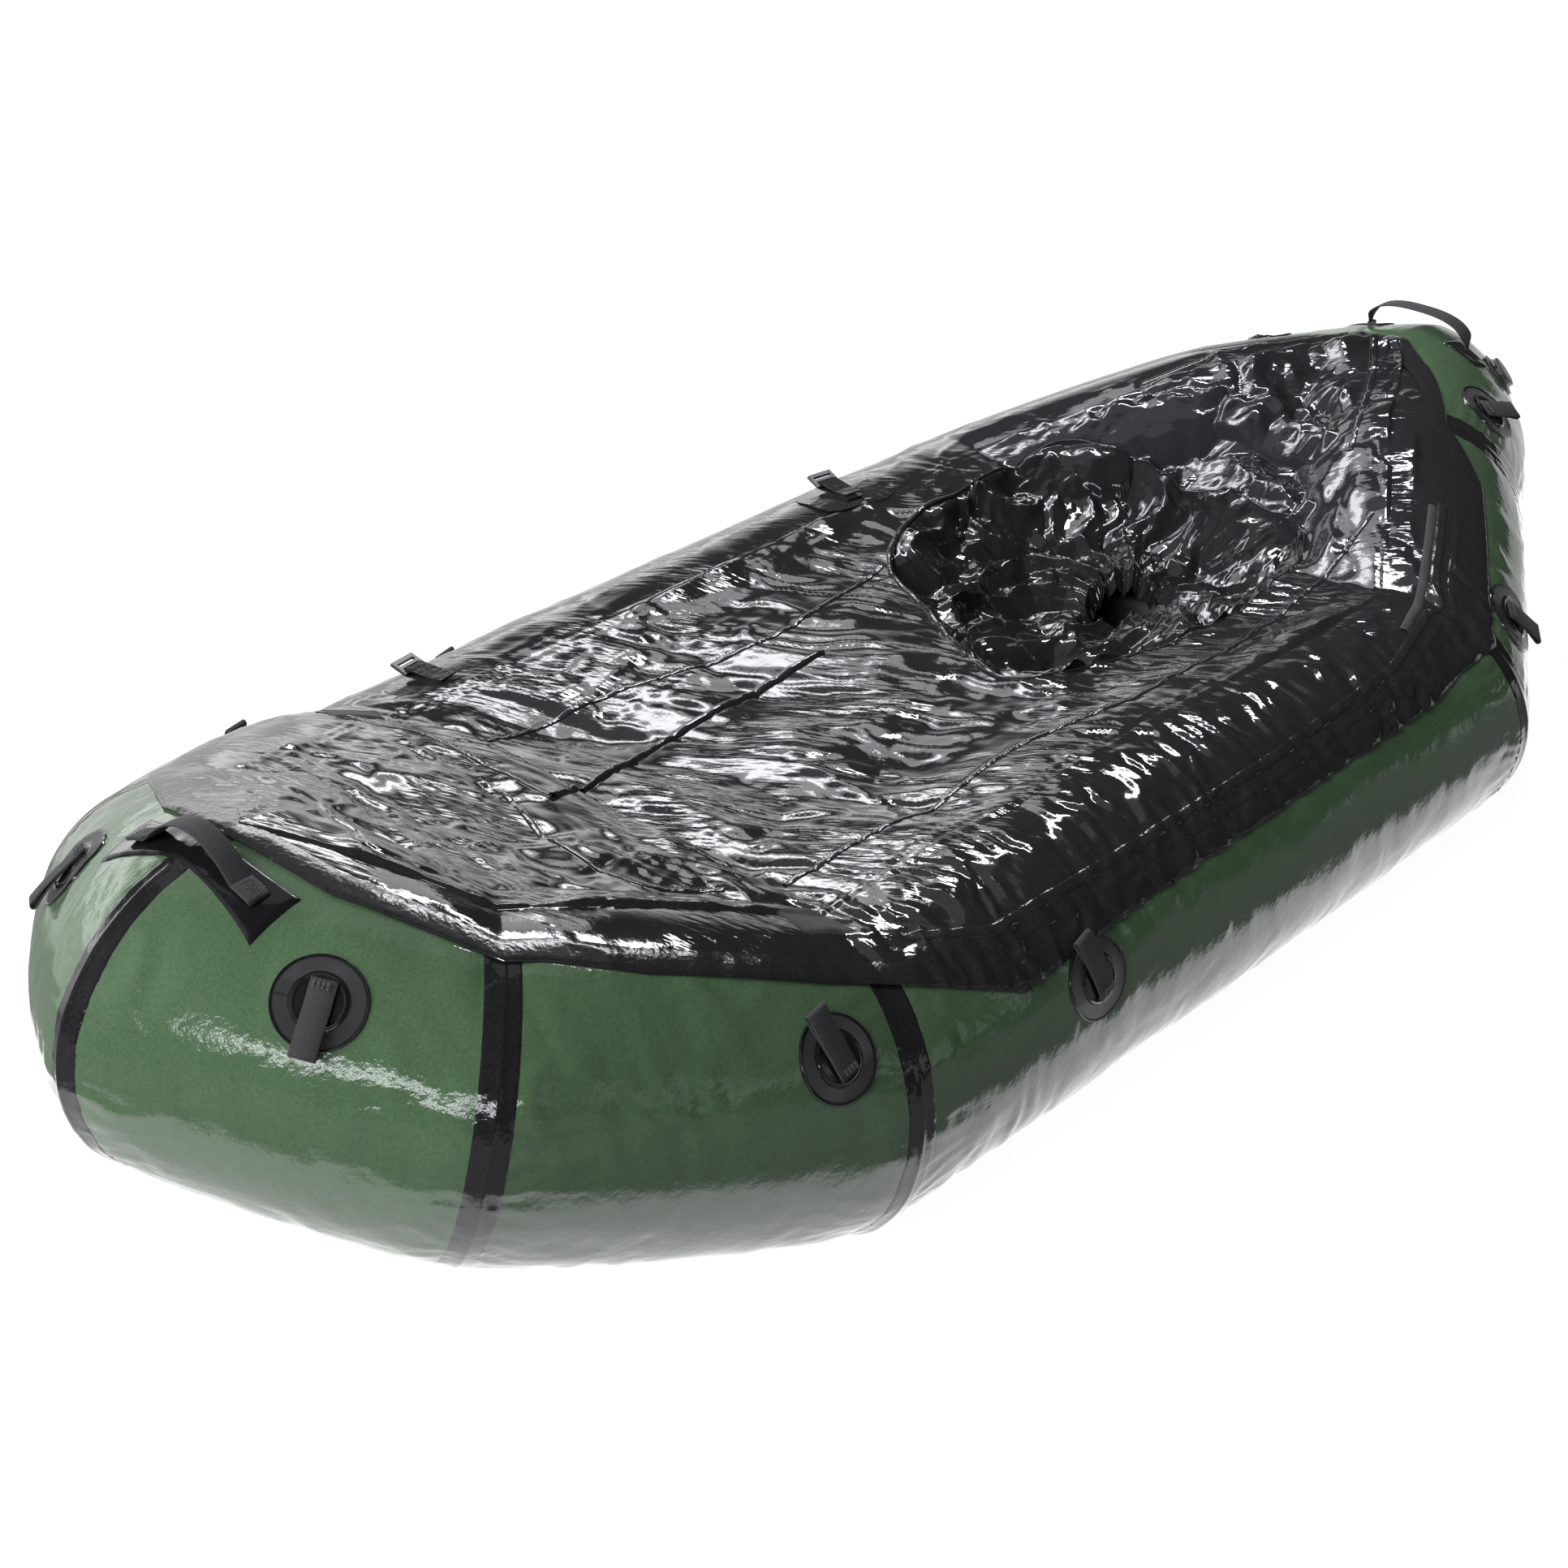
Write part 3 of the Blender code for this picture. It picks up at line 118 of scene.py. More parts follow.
def unit(vector):
    """Vectors of length 1."""
    vector = np.asarray(vector, float)
    return vector / np.maximum(np.linalg.norm(vector, axis=-1, keepdims=True), 1e-12)


TABLE_LENGTH = 4096
HASH = (73856093, 19349663, 83492791)
# Where noise and facets start, away from the cells at the origin
NOISE_START, FACET_START = 311.7, 211.3


def hashed(corner):
    """A place in a random table for each corner of a grid in space."""
    x, y, z = (corner[..., axis] * HASH[axis] for axis in range(3))
    return (x ^ y ^ z) & (TABLE_LENGTH - 1)


def random_table(seed):
    return np.random.default_rng(seed).uniform(-1, 1, TABLE_LENGTH)


def layered(kind, points, *layers):
    """The sum of layers of one kind of noise, each an amount in metres and its own settings."""
    return sum(amount * kind(points, *settings) for amount, *settings in layers)


def noise(points, size, seed=0):
    """Smooth random values from -1 to 1 over space, changing over a distance of size."""
    table = random_table(seed)
    p = np.asarray(points, float) / size + NOISE_START
    cell = np.floor(p).astype(np.int64)
    f = p - cell
    f = f * f * f * (f * (f * 6 - 15) + 10)
    total = 0.0
    for step in np.ndindex(2, 2, 2):
        shares = [f[..., axis] if step[axis] else 1 - f[..., axis] for axis in range(3)]
        total = total + table[hashed(cell + step)] * (shares[0] * shares[1] * shares[2])
    return total


def fold_wave(phase, soft=0.12):
    """A triangle wave from -1 to 1 whose corners are softened."""
    t = np.abs(phase - np.floor(phase) - 0.5) * 4 - 1
    return np.sign(t) * (np.sqrt(t * t + soft * soft) - soft) / (math.sqrt(1 + soft * soft) - soft)


def facets(points, size, seed, warp=0.45, stretch=None):
    """Crushed film: flat facets with sharp creases, about size across, from -1 to 1.

    Space is cut into tetrahedra, bent by noise. Each corner has a random height, and heights go
    evenly from corner to corner. stretch is a direction in plan, in degrees, and how many times
    longer the facets are along it.
    """
    points = np.asarray(points, float)
    if stretch:
        turn = math.radians(stretch[0])
        along = np.array((math.cos(turn), math.sin(turn), 0.0))
        points = points - along * (points @ along)[..., None] * (1 - 1 / stretch[1])
    bend = np.stack([noise(points, size * 1.3, seed * 7 + axis) for axis in range(3)], -1)
    p = points / size + bend * warp + FACET_START
    p = p + p.sum(-1, keepdims=True) / 3
    cell = np.floor(p).astype(np.int64)
    f = p - cell
    order = np.argsort(-f, axis=-1)
    f = np.take_along_axis(f, order, -1)
    table = random_table(seed)
    step = np.eye(3, dtype=np.int64)
    corner = cell
    weights = (1 - f[..., 0], f[..., 0] - f[..., 1], f[..., 1] - f[..., 2], f[..., 2])
    total = 0.0
    for index, weight in enumerate(weights):
        total = total + table[hashed(corner)] * weight
        if index < 3:
            corner = corner + step[order[..., index]]
    return total


def sharp(value, soft):
    """Sharp crests of 1 where a noise passes 0, softened at the top."""
    return 1 - 3 * (np.sqrt(value * value + soft * soft) - soft)


def fibres(points, turn_deg, size, stretch, seed, warp=1.0, soft=0.10):
    """Fine wrinkles along a direction in plan: sharp crests size apart, stretch times as long."""
    turn = math.radians(turn_deg)
    across = np.array((-math.sin(turn), math.cos(turn), 0.0))
    along = np.array((math.cos(turn), math.sin(turn), 0.0))
    length = size * stretch
    bend = noise(points, length * 0.7, seed + 1) + 0.5 * noise(points, length * 0.25, seed + 2)
    q = np.stack((points @ across / size + bend * warp, points @ along / length,
                  points[..., 2] / (size * 6)), -1)
    return sharp(noise(q, 1.0, seed), soft)


def rays(points, centre, count, seed, warp=1.1, soft=0.15):
    """Wrinkles that run out from a centre in plan, about count of them in a full turn."""
    x, y = points[..., 0] - centre[0], points[..., 1] - centre[1]
    reach = np.hypot(x, y)
    bend = noise(points, 0.11, seed) * warp + noise(points, 0.045, seed + 1) * warp * 0.5
    turn = np.arctan2(y, x) * count / math.tau
    q = np.stack((turn * 2 + bend, reach / 0.16, points[..., 2] / 0.16), -1)
    return sharp(noise(q, 1.0, seed + 3), soft) * smooth(0.05, 0.20, reach)


# The tube ring
# Rounds that bring a search on the ring to rest
ROUNDS = 6
CORNERS = np.array([(x * LENGTH / 2, y * HULL_W / 2) for x, y in zip(SEAM_X, SEAM_Y)])


def find_stations():
    """Outer and inner points of the mitred sections, port half, bow to quarter."""
    outer, inner = [], []
    for index in range(5):
        before = CORNERS[index - 1] if index else CORNERS[1] * (1, -1)
        arrive = unit(CORNERS[index] - before)
        leave = unit(CORNERS[index + 1] - CORNERS[index])
        along = unit(arrive + leave)
        reach = np.array((along[1], -along[0])) * TUBE_D[index] / float(arrive @ along)
        outer.append(CORNERS[index])
        inner.append(np.maximum(CORNERS[index] - reach, (-9.0, 0.0)))
    return np.array(outer), np.array(inner)


OUTER, INNER = find_stations()
MIDDLE_Z = RISE + TUBE_D / 2 + KEEL_GAP
TIP = np.array((-LENGTH / 2, 0.0))
SHOULDER = np.array((-LENGTH / 2, OUTER[4][1] * FULLNESS))
CROTCH = np.array((-LENGTH / 2 + STERN_CROTCH, 0.0))
TIP_Z = STERN_RISE + TUBE_D[4] / 2 + KEEL_GAP
CENTRES = OUTER + INNER
ALONG = unit(np.vstack((CENTRES[1:] - CENTRES[:-1], (-1.0, 0.0))))
# Seams stand square to the ring, so where the ring climbs to an end, they lean: the top goes aft
SLOPES = np.diff(np.append(MIDDLE_Z, TIP_Z)) / np.linalg.norm(
    np.diff(np.vstack((CORNERS[:5], SHOULDER)), axis=0), axis=1)
LEAN = np.array((0.0, *(-(SLOPES[:-1] + SLOPES[1:]) / 2), 0.0))
LEAN_WAY = np.vstack(((0.0, 0.0), unit(ALONG[:-1] + ALONG[1:]), (0.0, 0.0)))


def lean_of(panel, share, radius, sin):
    """How far a point of the ring slides along it in plan, for the lean of its seams."""
    before, after = panel, np.minimum(panel + 1, 5)
    first = LEAN_WAY[before] * (LEAN[before] * (1 - share))[..., None]
    last = LEAN_WAY[after] * (LEAN[after] * share)[..., None]
    return (first + last) * (radius * sin)[..., None]


def tube(place, angle, lift=0.0, side=1.0, lean=1.0):
    """Points of the tube's skin: ring place, angle up from the outer side, lift off the skin.

    A section is an ellipse between an outer and an inner point. Sections change evenly from seam to
    seam, and the round stern follows a quadratic curve. Each panel swells by a parabola. lean 1
    slides each section's top along the ring, so that the seams stand square to it.
    """
    place, angle, lift = np.broadcast_arrays(*(np.asarray(v, float) for v in (place, angle, lift)))
    panel = np.clip(place.astype(int), 0, 4)
    after = np.minimum(panel + 1, 4)
    s = (place - panel)[..., None]
    stern = (panel == 4)[..., None]
    curve = (1 - s) ** 2 * OUTER[4] + 2 * s * (1 - s) * SHOULDER + s**2 * TIP
    outer = np.where(stern, curve, OUTER[panel] * (1 - s) + OUTER[after] * s)
    straight = INNER[panel] * (1 - s) + INNER[after] * s
    inner = np.where(stern, INNER[4] * (1 - s) + CROTCH * s, straight)
    s = s[..., 0]
    radius = (TUBE_D[panel] * (1 - s) + TUBE_D[after] * s) / 2
    end_z = np.where(panel == 4, TIP_Z, MIDDLE_Z[after])
    height = MIDDLE_Z[panel] * (1 - s) + end_z * s
    cos, sin = np.cos(angle), np.sin(angle)
    flat = (outer + inner) / 2 + (outer - inner) / 2 * ((1 + lift / radius) * cos)[..., None]
    spread = np.maximum(0.0, np.cos((angle - SWELL_MIDDLE) * SWELL_NARROW))
    flat = flat + lean_of(panel, s, radius, sin) * lean
    swell = SWELL[panel] * 4 * s * (1 - s) * spread
    along = ALONG[panel]
    x = flat[..., 0] + swell * along[..., 1] * cos
    y = flat[..., 1] - swell * along[..., 0] * cos
    z = height + (radius + lift) * sin + swell * sin
    return np.stack((x, y * side, z), -1)


def steady(place, angle):
    """Ring place at which the leaning ring has the point that the upright ring has at a place."""
    target = tube(place, angle, lean=0.0)
    step = 0.01
    for _ in range(ROUNDS):
        ahead = (tube(place + step, angle) - tube(place - step, angle)) / (2 * step)
        place = place + float((target - tube(place, angle)) @ ahead / (ahead @ ahead))
    return place


def length_at(panel, turns):
    """Length of a panel at each angle round the tube."""
    return np.linalg.norm(tube(panel + 0.999, turns) - tube(panel + 0.001, turns), axis=-1)


PANEL_L = np.array([length_at(panel, 1.57) for panel in range(5)])
MEAN_RADIUS = 0.16


def relief(place, angle, side):
    """How far the blown-up skin departs from the plain tube: slow swelling and puckers at seams."""
    points = tube(place, angle, 0.0, side)
    panel = np.clip(np.asarray(place, float).astype(int), 0, 4)
    share = place - panel
    away = np.where(panel == 4, share, np.minimum(share, 1 - share)) * PANEL_L[panel]
    away = np.broadcast_to(away, points.shape[:-1])
    arc = np.broadcast_to(angle, away.shape) * MEAN_RADIUS
    welded = np.interp(np.broadcast_to(place, points.shape[:-1]), *zip(*EDGE_LINE))
    turned = np.degrees(np.broadcast_to(angle, away.shape))
    cover = smooth(welded - 3.0, welded + 1.5, turned) * (turned < 150.0)
    slow = layered(noise, points, (0.0017, 0.13, 3), (0.00020, 0.017, 5))
    slow = slow + 0.0011 * facets(points, 0.055, 4, 0.8)
    run = np.broadcast_to(place, away.shape) * PANEL_L[panel]
    bent = (run + 0.35 * side * arc) / 0.016 + 1.2 * noise(points, 0.06, 8)
    slant = np.stack(np.broadcast_arrays(bent, arc / 0.055, panel + 0.5 * side), -1)
    ripple = noise(slant, 1.0, 9)
    slow = slow + 0.0012 * ripple * smooth(-0.3, 0.5, noise(points, 0.10, 10))
    slow = slow - 0.0012 * smooth(0.62, 0.95, noise(points, 0.024, 14)) * smooth(0.9, 0.2, run)
    wobble = noise(points, 0.05, 6)
    pucker = np.sin(math.tau * (arc / 0.024 + 0.9 * wobble))
    pucker = pucker + 0.6 * np.sin(math.tau * (arc / 0.011 + wobble))
    near = smooth(0.004, 0.024, away) * np.exp(-away / 0.040)
    near = near * (0.45 + 0.55 * noise(points, 0.08, 7))
    seam = smooth(0.0, 0.016, away)
    dip = 0.0012 * (1 - smooth(0.0, 0.030, away))
    shape = slow * (0.35 + 0.65 * seam) + 0.0019 * pucker * near - dip
    return shape * (1 - cover) - 0.0006 * cover


def skin(place, angle, lift, side):
    """Points over the blown-up skin."""
    return tube(place, angle, relief(place, angle, side) + lift, side)


# Meshes
def grid_faces(rows, columns, wrap=False, flip=False, keep=None):
    """Quads between rows and columns of points, where keep is true."""
    across = np.arange(columns if wrap else columns - 1)
    i, j = np.meshgrid(np.arange(rows - 1), across, indexing="ij")
    if keep is not None:
        i, j = i[keep], j[keep]
    i, j = i.ravel(), j.ravel()
    k = (j + 1) % columns
    here, below = i * columns, (i + 1) * columns
    quads = np.stack((here + j, below + j, below + k, here + k), -1)
    return quads[:, ::-1] if flip else quads


def make_mesh(name, points, quads, uv=None):
    """A mesh of quads, smooth shaded, with an optional UV value at each point."""
    points = np.ascontiguousarray(np.asarray(points, np.float32).reshape(-1, 3))
    used = np.unique(quads)
    order = np.zeros(len(points), np.int64)
    order[used] = np.arange(len(used))
    quads = order[quads].astype(np.int32)
    data = bpy.data.meshes.new(name)
    data.vertices.add(len(used))
    data.vertices.foreach_set("co", points[used].ravel())
    data.loops.add(quads.size)
    data.loops.foreach_set("vertex_index", quads.ravel())
    data.polygons.add(len(quads))
    data.polygons.foreach_set("loop_start", np.arange(0, quads.size, 4, dtype=np.int32))
    data.polygons.foreach_set("use_smooth", np.ones(len(quads), bool))
    if uv is not None:
        layer = data.uv_layers.new(name="UVMap")
        flat = np.asarray(uv, np.float32).reshape(-1, 2)[used]
        layer.data.foreach_set("uv", np.ascontiguousarray(flat[quads.ravel()]).ravel())
    data.update(calc_edges=True)
    data.validate()
    return data


def show(name, data):
    """An object in the scene that shows some data."""
    item = bpy.data.objects.new(name, data)
    bpy.context.scene.collection.objects.link(item)
    return item


def piece(name, lot, body, finish, nodes=()):
    """One visible piece on a body, with its finish and the CAD nodes it stands for.

    lot is points and quads, and UV values where the finish needs them. A piece that bends between
    two bodies has no body here.
    """
    item = show(name, make_mesh(name, *lot))
    item.data.materials.append(finish.material)
    if body:
        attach(item, body)
    if nodes:
        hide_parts(*nodes)
    return item


def grid_piece(name, points, body, finish, nodes=(), wrap=False, flip=False, keep=None, uv=None):
    """One visible piece from a grid of points."""
    quads = grid_faces(*points.shape[:2], wrap, flip, keep)
    return piece(name, (points, quads, uv), body, finish, nodes)


def join_lots(lots):
    """One lot of points and quads from several."""
    points, quads, start = [], [], 0
    for lot, faces in lots:
        lot = np.asarray(lot, float).reshape(-1, 3)
        points.append(lot)
        quads.append(faces + start)
        start += len(lot)
    return np.vstack(points), np.vstack(quads)


def tree_of(*lots):
    """A tree to cast rays on, from lots of points and quads."""
    points, quads = join_lots(lots)
    return BVHTree.FromPolygons(points.tolist(), quads.tolist())


def drop_on(tree, xy, miss=-1.0):
    """Heights of a surface under places in plan."""
    xy = np.asarray(xy, float)
    down = Vector((0.0, 0.0, -1.0))
    flat = xy.reshape(-1, 2)
    found = np.full(len(flat), miss)
    for index, (x, y) in enumerate(flat):
        hit = tree.ray_cast(Vector((x, y, 1.0)), down)[0]
        if hit is not None:
            found[index] = hit[2]
    return found.reshape(xy.shape[:-1])


def run_of(path):
    """Distance along a path of points."""
    return np.concatenate(([0.0], np.cumsum(np.linalg.norm(np.diff(path, axis=0), axis=1))))


def uv_of(u, v):
    """Pairs of two values."""
    return np.stack(np.broadcast_arrays(u, v), -1)


STRAP_SECTION = ((-1.0, -0.4), (-1.0, 0.4), (-0.94, 1.0), (-0.4, 1.12), (0.4, 1.12), (0.94, 1.0),
                 (1.0, 0.4), (1.0, -0.4), (0.94, -1.0), (0.0, -1.0), (-0.94, -1.0))


def strap(centres, across, ups, width, thick):
    """Points, quads and UV of a band of webbing along a path: a flat section with soft corners."""
    centres, across, ups = (np.asarray(v, float) for v in (centres, across, ups))
    across, ups = unit(across), unit(ups)
    section = [(a * width / 2, b * thick / 2) for a, b in STRAP_SECTION]
    rows = np.stack([centres + across * a + ups * b for a, b in section], 1)
    first = centres[0] + (rows[0] - centres[0]) * 0.02
    last = centres[-1] + (rows[-1] - centres[-1]) * 0.02
    rows = np.concatenate((first[None], rows, last[None]))
    count = len(section)
    run = run_of(rows.mean(1))
    uv = uv_of(np.array([a for a, b in section])[None, :], run[:, None])
    return rows, grid_faces(len(rows), count, True), uv


def even_path(points, step):
    """Points at even steps along a smooth curve through the given points."""
    points = np.asarray(points, float)
    knots = run_of(points)
    fine = np.linspace(0, knots[-1], max(2, int(knots[-1] / step) + 1))
    slopes = np.gradient(points, knots, axis=0) if len(points) > 2 else np.repeat(
        (points[1:] - points[:1]) / knots[-1], 2, 0)
    k = np.clip(np.searchsorted(knots, fine, "right") - 1, 0, len(knots) - 2)
    h = (knots[k + 1] - knots[k])[:, None]
    t = (fine[:, None] - knots[k][:, None]) / h
    return (
        points[k] * (1 + 2 * t) * (1 - t) ** 2 + slopes[k] * h * t * (1 - t) ** 2
        + points[k + 1] * t**2 * (3 - 2 * t) + slopes[k + 1] * h * t**2 * (t - 1)
    )


# Finishes
class Value:
    """A shader value that takes part in plain arithmetic."""

    def __init__(self, tree, socket):
        self.tree, self.socket = tree, socket

    def math(self, operation, *others, clamp=False):
        node = self.tree.nodes.new("ShaderNodeMath")
        node.operation, node.use_clamp = operation, clamp
        for index, value in enumerate((self, *others)):
            if isinstance(value, Value):
                self.tree.links.new(value.socket, node.inputs[index])
            else:
                node.inputs[index].default_value = value
        return Value(self.tree, node.outputs[0])

    def __add__(self, other):
        return self.math("ADD", other)

    def __sub__(self, other):
        return self.math("SUBTRACT", other)

    def __rsub__(self, other):
        node = self.tree.nodes.new("ShaderNodeValue")
        node.outputs[0].default_value = other
        return Value(self.tree, node.outputs[0]).math("SUBTRACT", self)

    def __mul__(self, other):
        return self.math("MULTIPLY", other)

    def __truediv__(self, other):
        return self.math("DIVIDE", other)

    def between(self, low, high):
        """0 at low, 1 at high, held in that range."""
        return ((self - low) / (high - low)).math("ADD", 0.0, clamp=True)


def axes_of(tree, kind):
    """The three coordinates of a kind that the coordinate node gives."""
    place = tree.nodes.new("ShaderNodeTexCoord")
    split = tree.nodes.new("ShaderNodeSeparateXYZ")
    tree.links.new(place.outputs[kind], split.inputs[0])
    return [Value(tree, split.outputs[axis]) for axis in range(3)]


class Finish:
    """A Principled BSDF with the nodes that feed it, and the slot of the pieces that wear it."""

    def __init__(self, name, slot, colour, roughness, **constants):
        constants.setdefault("Specular_IOR_Level", 0.8)
        constants.setdefault("Specular_Tint", (0.95, 0.95, 1.0, 1.0))
        self.material = bpy.data.materials.new(name)
        self.material.use_nodes = True
        self.tree = self.material.node_tree
        self.shader = self.tree.nodes["Principled BSDF"]
        self.shader.inputs["Base Color"].default_value = (*colour, 1.0)
        self.shader.inputs["Roughness"].default_value = roughness
        for label, value in constants.items():
            self.shader.inputs[label.replace("_", " ")].default_value = value
        self.bump = None
        self.slot, self.colour = slot, colour

    def noise(self, scale, detail=2.0, stretch=None):
        """Noise from 0 to 1. stretch is three lengths and a turn in plan, in degrees."""
        node = self.tree.nodes.new("ShaderNodeTexNoise")
        node.inputs["Scale"].default_value = scale
        node.inputs["Detail"].default_value = detail
        source = self.tree.nodes.new("ShaderNodeTexCoord").outputs["Object"]
        if stretch:
            scaled = self.tree.nodes.new("ShaderNodeMapping")
            scaled.inputs["Scale"].default_value = stretch[:3]
            scaled.inputs["Rotation"].default_value = (0.0, 0.0, math.radians(stretch[3]))
            scaled.vector_type = "TEXTURE"
            self.tree.links.new(source, scaled.inputs[0])
            source = scaled.outputs[0]
        self.tree.links.new(source, node.inputs["Vector"])
        return Value(self.tree, node.outputs["Fac"])

    def mix_colour(self, share, other):
        """Base colour goes over to other as share goes to 1."""
        node = self.tree.nodes.new("ShaderNodeMix")
        node.data_type = "RGBA"
        self.tree.links.new(share.socket, node.inputs[0])
        node.inputs[6].default_value = (*self.colour, 1.0)
        node.inputs[7].default_value = (*other, 1.0)
        self.tree.links.new(node.outputs[2], self.shader.inputs["Base Color"])

    def rough(self, value):
        """Roughness from a shader value."""
        self.tree.links.new(value.socket, self.shader.inputs["Roughness"])

    def raise_by(self, height, distance):
        """Bump by a height from 0 to 1, distance metres deep, over any bump there is."""
        node = self.tree.nodes.new("ShaderNodeBump")
        node.inputs["Distance"].default_value = distance
        self.tree.links.new(height.socket, node.inputs["Height"])
        if self.bump is not None:
            self.tree.links.new(self.bump.outputs[0], node.inputs["Normal"])
        self.tree.links.new(node.outputs[0], self.shader.inputs["Normal"])
        self.bump = node


FEATHER_STRETCH = (1 / 26.0, 1 / 150.0, 1 / 90.0, 122.0)


def film(name, slot, colour, other, roughness, grain, crinkle, feather=0.0):
    """Coated film: fine grain in its colour, small crinkles in its gloss.

    grain, crinkle and feather are depths in metres. Feathers are fine streaks along the wrinkles.
    """
    finish = Finish(name, slot, colour, roughness)
    finish.mix_colour(finish.noise(420.0, 3.0).between(0.35, 0.68), other)
    finish.rough(finish.noise(35.0, 3.0) * 0.06 + (roughness - 0.03))
    finish.raise_by(finish.noise(900.0, 2.0), grain)
    finish.raise_by(finish.noise(120.0, 2.5), crinkle)
    if feather:
        here = finish.noise(9.0, 1.0).between(0.42, 0.62)
        finish.raise_by(finish.noise(1.0, 1.5, FEATHER_STRETCH) * here, feather)
    return finish


def woven(name, colour, roughness, rib=0.0024, depth=0.00035):
    """Webbing: slanting ribs of yarn over its own UV, in metres."""
    finish = Finish(name, "webbing", colour, roughness, Sheen_Weight=0.04, Specular_IOR_Level=0.3)
    u, v, _ = axes_of(finish.tree, "UV")
    ridge = ((v + u.math("ABSOLUTE") * 0.55) * (math.tau / rib)).math("SINE") * 0.5 + 0.5
    yarn = (u * (math.tau / (rib * 0.8))).math("SINE") * 0.5 + 0.5
    height = ridge * 0.7 + yarn * 0.3
    finish.mix_colour(height.between(0.1, 0.9), tuple(c * 2.4 for c in colour))
    finish.raise_by(height, depth)
    return finish


GREEN = film("tube_green_film", "tube_green", (0.0295, 0.054, 0.0275), (0.038, 0.069, 0.0355),
             0.080, 0.00006, 0.00045)
BLACK = film("deck_black_film", "deck_black", (0.0065, 0.0065, 0.0075), (0.010, 0.010, 0.0115),
             0.062, 0.00003, 0.00018, 0.0011)
# The skirt wears the deck film in a darker colour: painted shade for the hollow of the cockpit
# mouth.
SHADED_SKIRT = film("skirt_film_painted_shade", "deck_black", (0.0045, 0.0045, 0.0052), (0.007, 0.007, 0.008),
             0.060, 0.00002, 0.00012)
TAPE = film("tape_black_film", "tape_black", (0.0045, 0.0045, 0.005), (0.008, 0.008, 0.009),
            0.07, 0.00004, 0.00045)
BAND = film("weld_band_film", "deck_black", (0.0065, 0.0065, 0.007), (0.011, 0.011, 0.012),
            0.15, 0.00006, 0.00060)
BAND.shader.inputs["Specular IOR Level"].default_value = 0.50
WEB = woven("webbing_yarn", (0.0062, 0.0062, 0.0070), 0.66)
RIBBED = woven("ribbed_tape", (0.006, 0.006, 0.0065), 0.60, 0.0030, 0.0005)
THREAD = Finish("black_thread", "webbing", (0.020, 0.020, 0.022), 0.6)
PLASTIC = Finish("moulded_plastic", None, (0.014, 0.014, 0.015), 0.38)
PLASTIC.raise_by(PLASTIC.noise(700.0), 0.00004)
PAD = film("pad_fabric", "pad_black", (0.012, 0.012, 0.013), (0.018, 0.018, 0.020),
           0.48, 0.00012, 0.0004)
FLOOR = film("floor_fabric", "floor_grey", (0.045, 0.045, 0.050), (0.060, 0.060, 0.065),
             0.50, 0.00015, 0.0004)
# A patch's UV is the distance from its middle and the turn about it
PATCH = Finish("patch_fabric", "patch_black", (0.0035, 0.0035, 0.0040), 0.14)
RADIUS_AT, TURN_AT, _ = axes_of(PATCH.tree, "UV")
WEAVE_ROW = (TURN_AT * 210.0).math("SINE") * (RADIUS_AT * 5200.0).math("SINE") * 0.5 + 0.5
WEAVE_HERE = RADIUS_AT.between(0.0268, 0.0278) * (1.0 - RADIUS_AT.between(0.0392, 0.0402))
PATCH.mix_colour(WEAVE_ROW * WEAVE_HERE, (0.012, 0.012, 0.013))
PATCH.raise_by(WEAVE_ROW * WEAVE_HERE, 0.00035)
PATCH.rough(WEAVE_HERE * 0.20 + 0.11)


# Hull
AROUND = 208
TURNS = np.linspace(-math.pi, math.pi, AROUND, endpoint=False)
STEP = 0.0055
# Keeps the last place of a panel on that panel
TINY = 1e-6
# Rows over which the stern panel's relief fades out towards the middle of the stern
MEET_ROWS = 12


def build_panels():
    """Nine tube panels with their relief, each open at its seams under the tapes."""
    for side_name, side in SIDES:
        for panel, name in enumerate(PANELS):
            count = int(PANEL_L[panel] * 1.25 / STEP)
            places = panel + np.linspace(0.0, 1.0, count)
            places[-1] -= TINY
            points = skin(places[:, None], TURNS[None, :], 0.0, side)
            label = f"tube_panel_{name}_{side_name}"
            grid_piece(label + "_skin", points, "hull", GREEN, (label,), True, side < 0)
    count = int(PANEL_L[4] * 1.6 / STEP)
    places = 4 + np.linspace(0.0, 1.0 - TINY, count)
    port = skin(places[:, None], TURNS[None, :], 0.0, 1.0)
    far = skin(places[:-1][::-1, None], TURNS[None, :], 0.0, -1.0)
    full = np.concatenate((port, far))
    middle = len(places) - 1
    for step in range(1 - MEET_ROWS, MEET_ROWS):
        share = 1 - abs(step) / MEET_ROWS
        plain = tube(places[-1 - abs(step)], TURNS, 0.0, 1.0 if step <= 0 else -1.0)
        full[middle + step] = full[middle + step] * (1 - share) + plain * share
    grid_piece("tube_panel_stern_skin", full, "hull", GREEN, ("tube_panel_stern",), True)


def tape_section(across):
    """Height of a seam tape at a share across its width: flat with a low ridge on the seam."""
    ridge = 0.0007 * np.exp(-((across / 0.10) ** 2))
    return 0.0006 + ridge - 0.0004 * smooth(0.86, 1.0, np.abs(across))


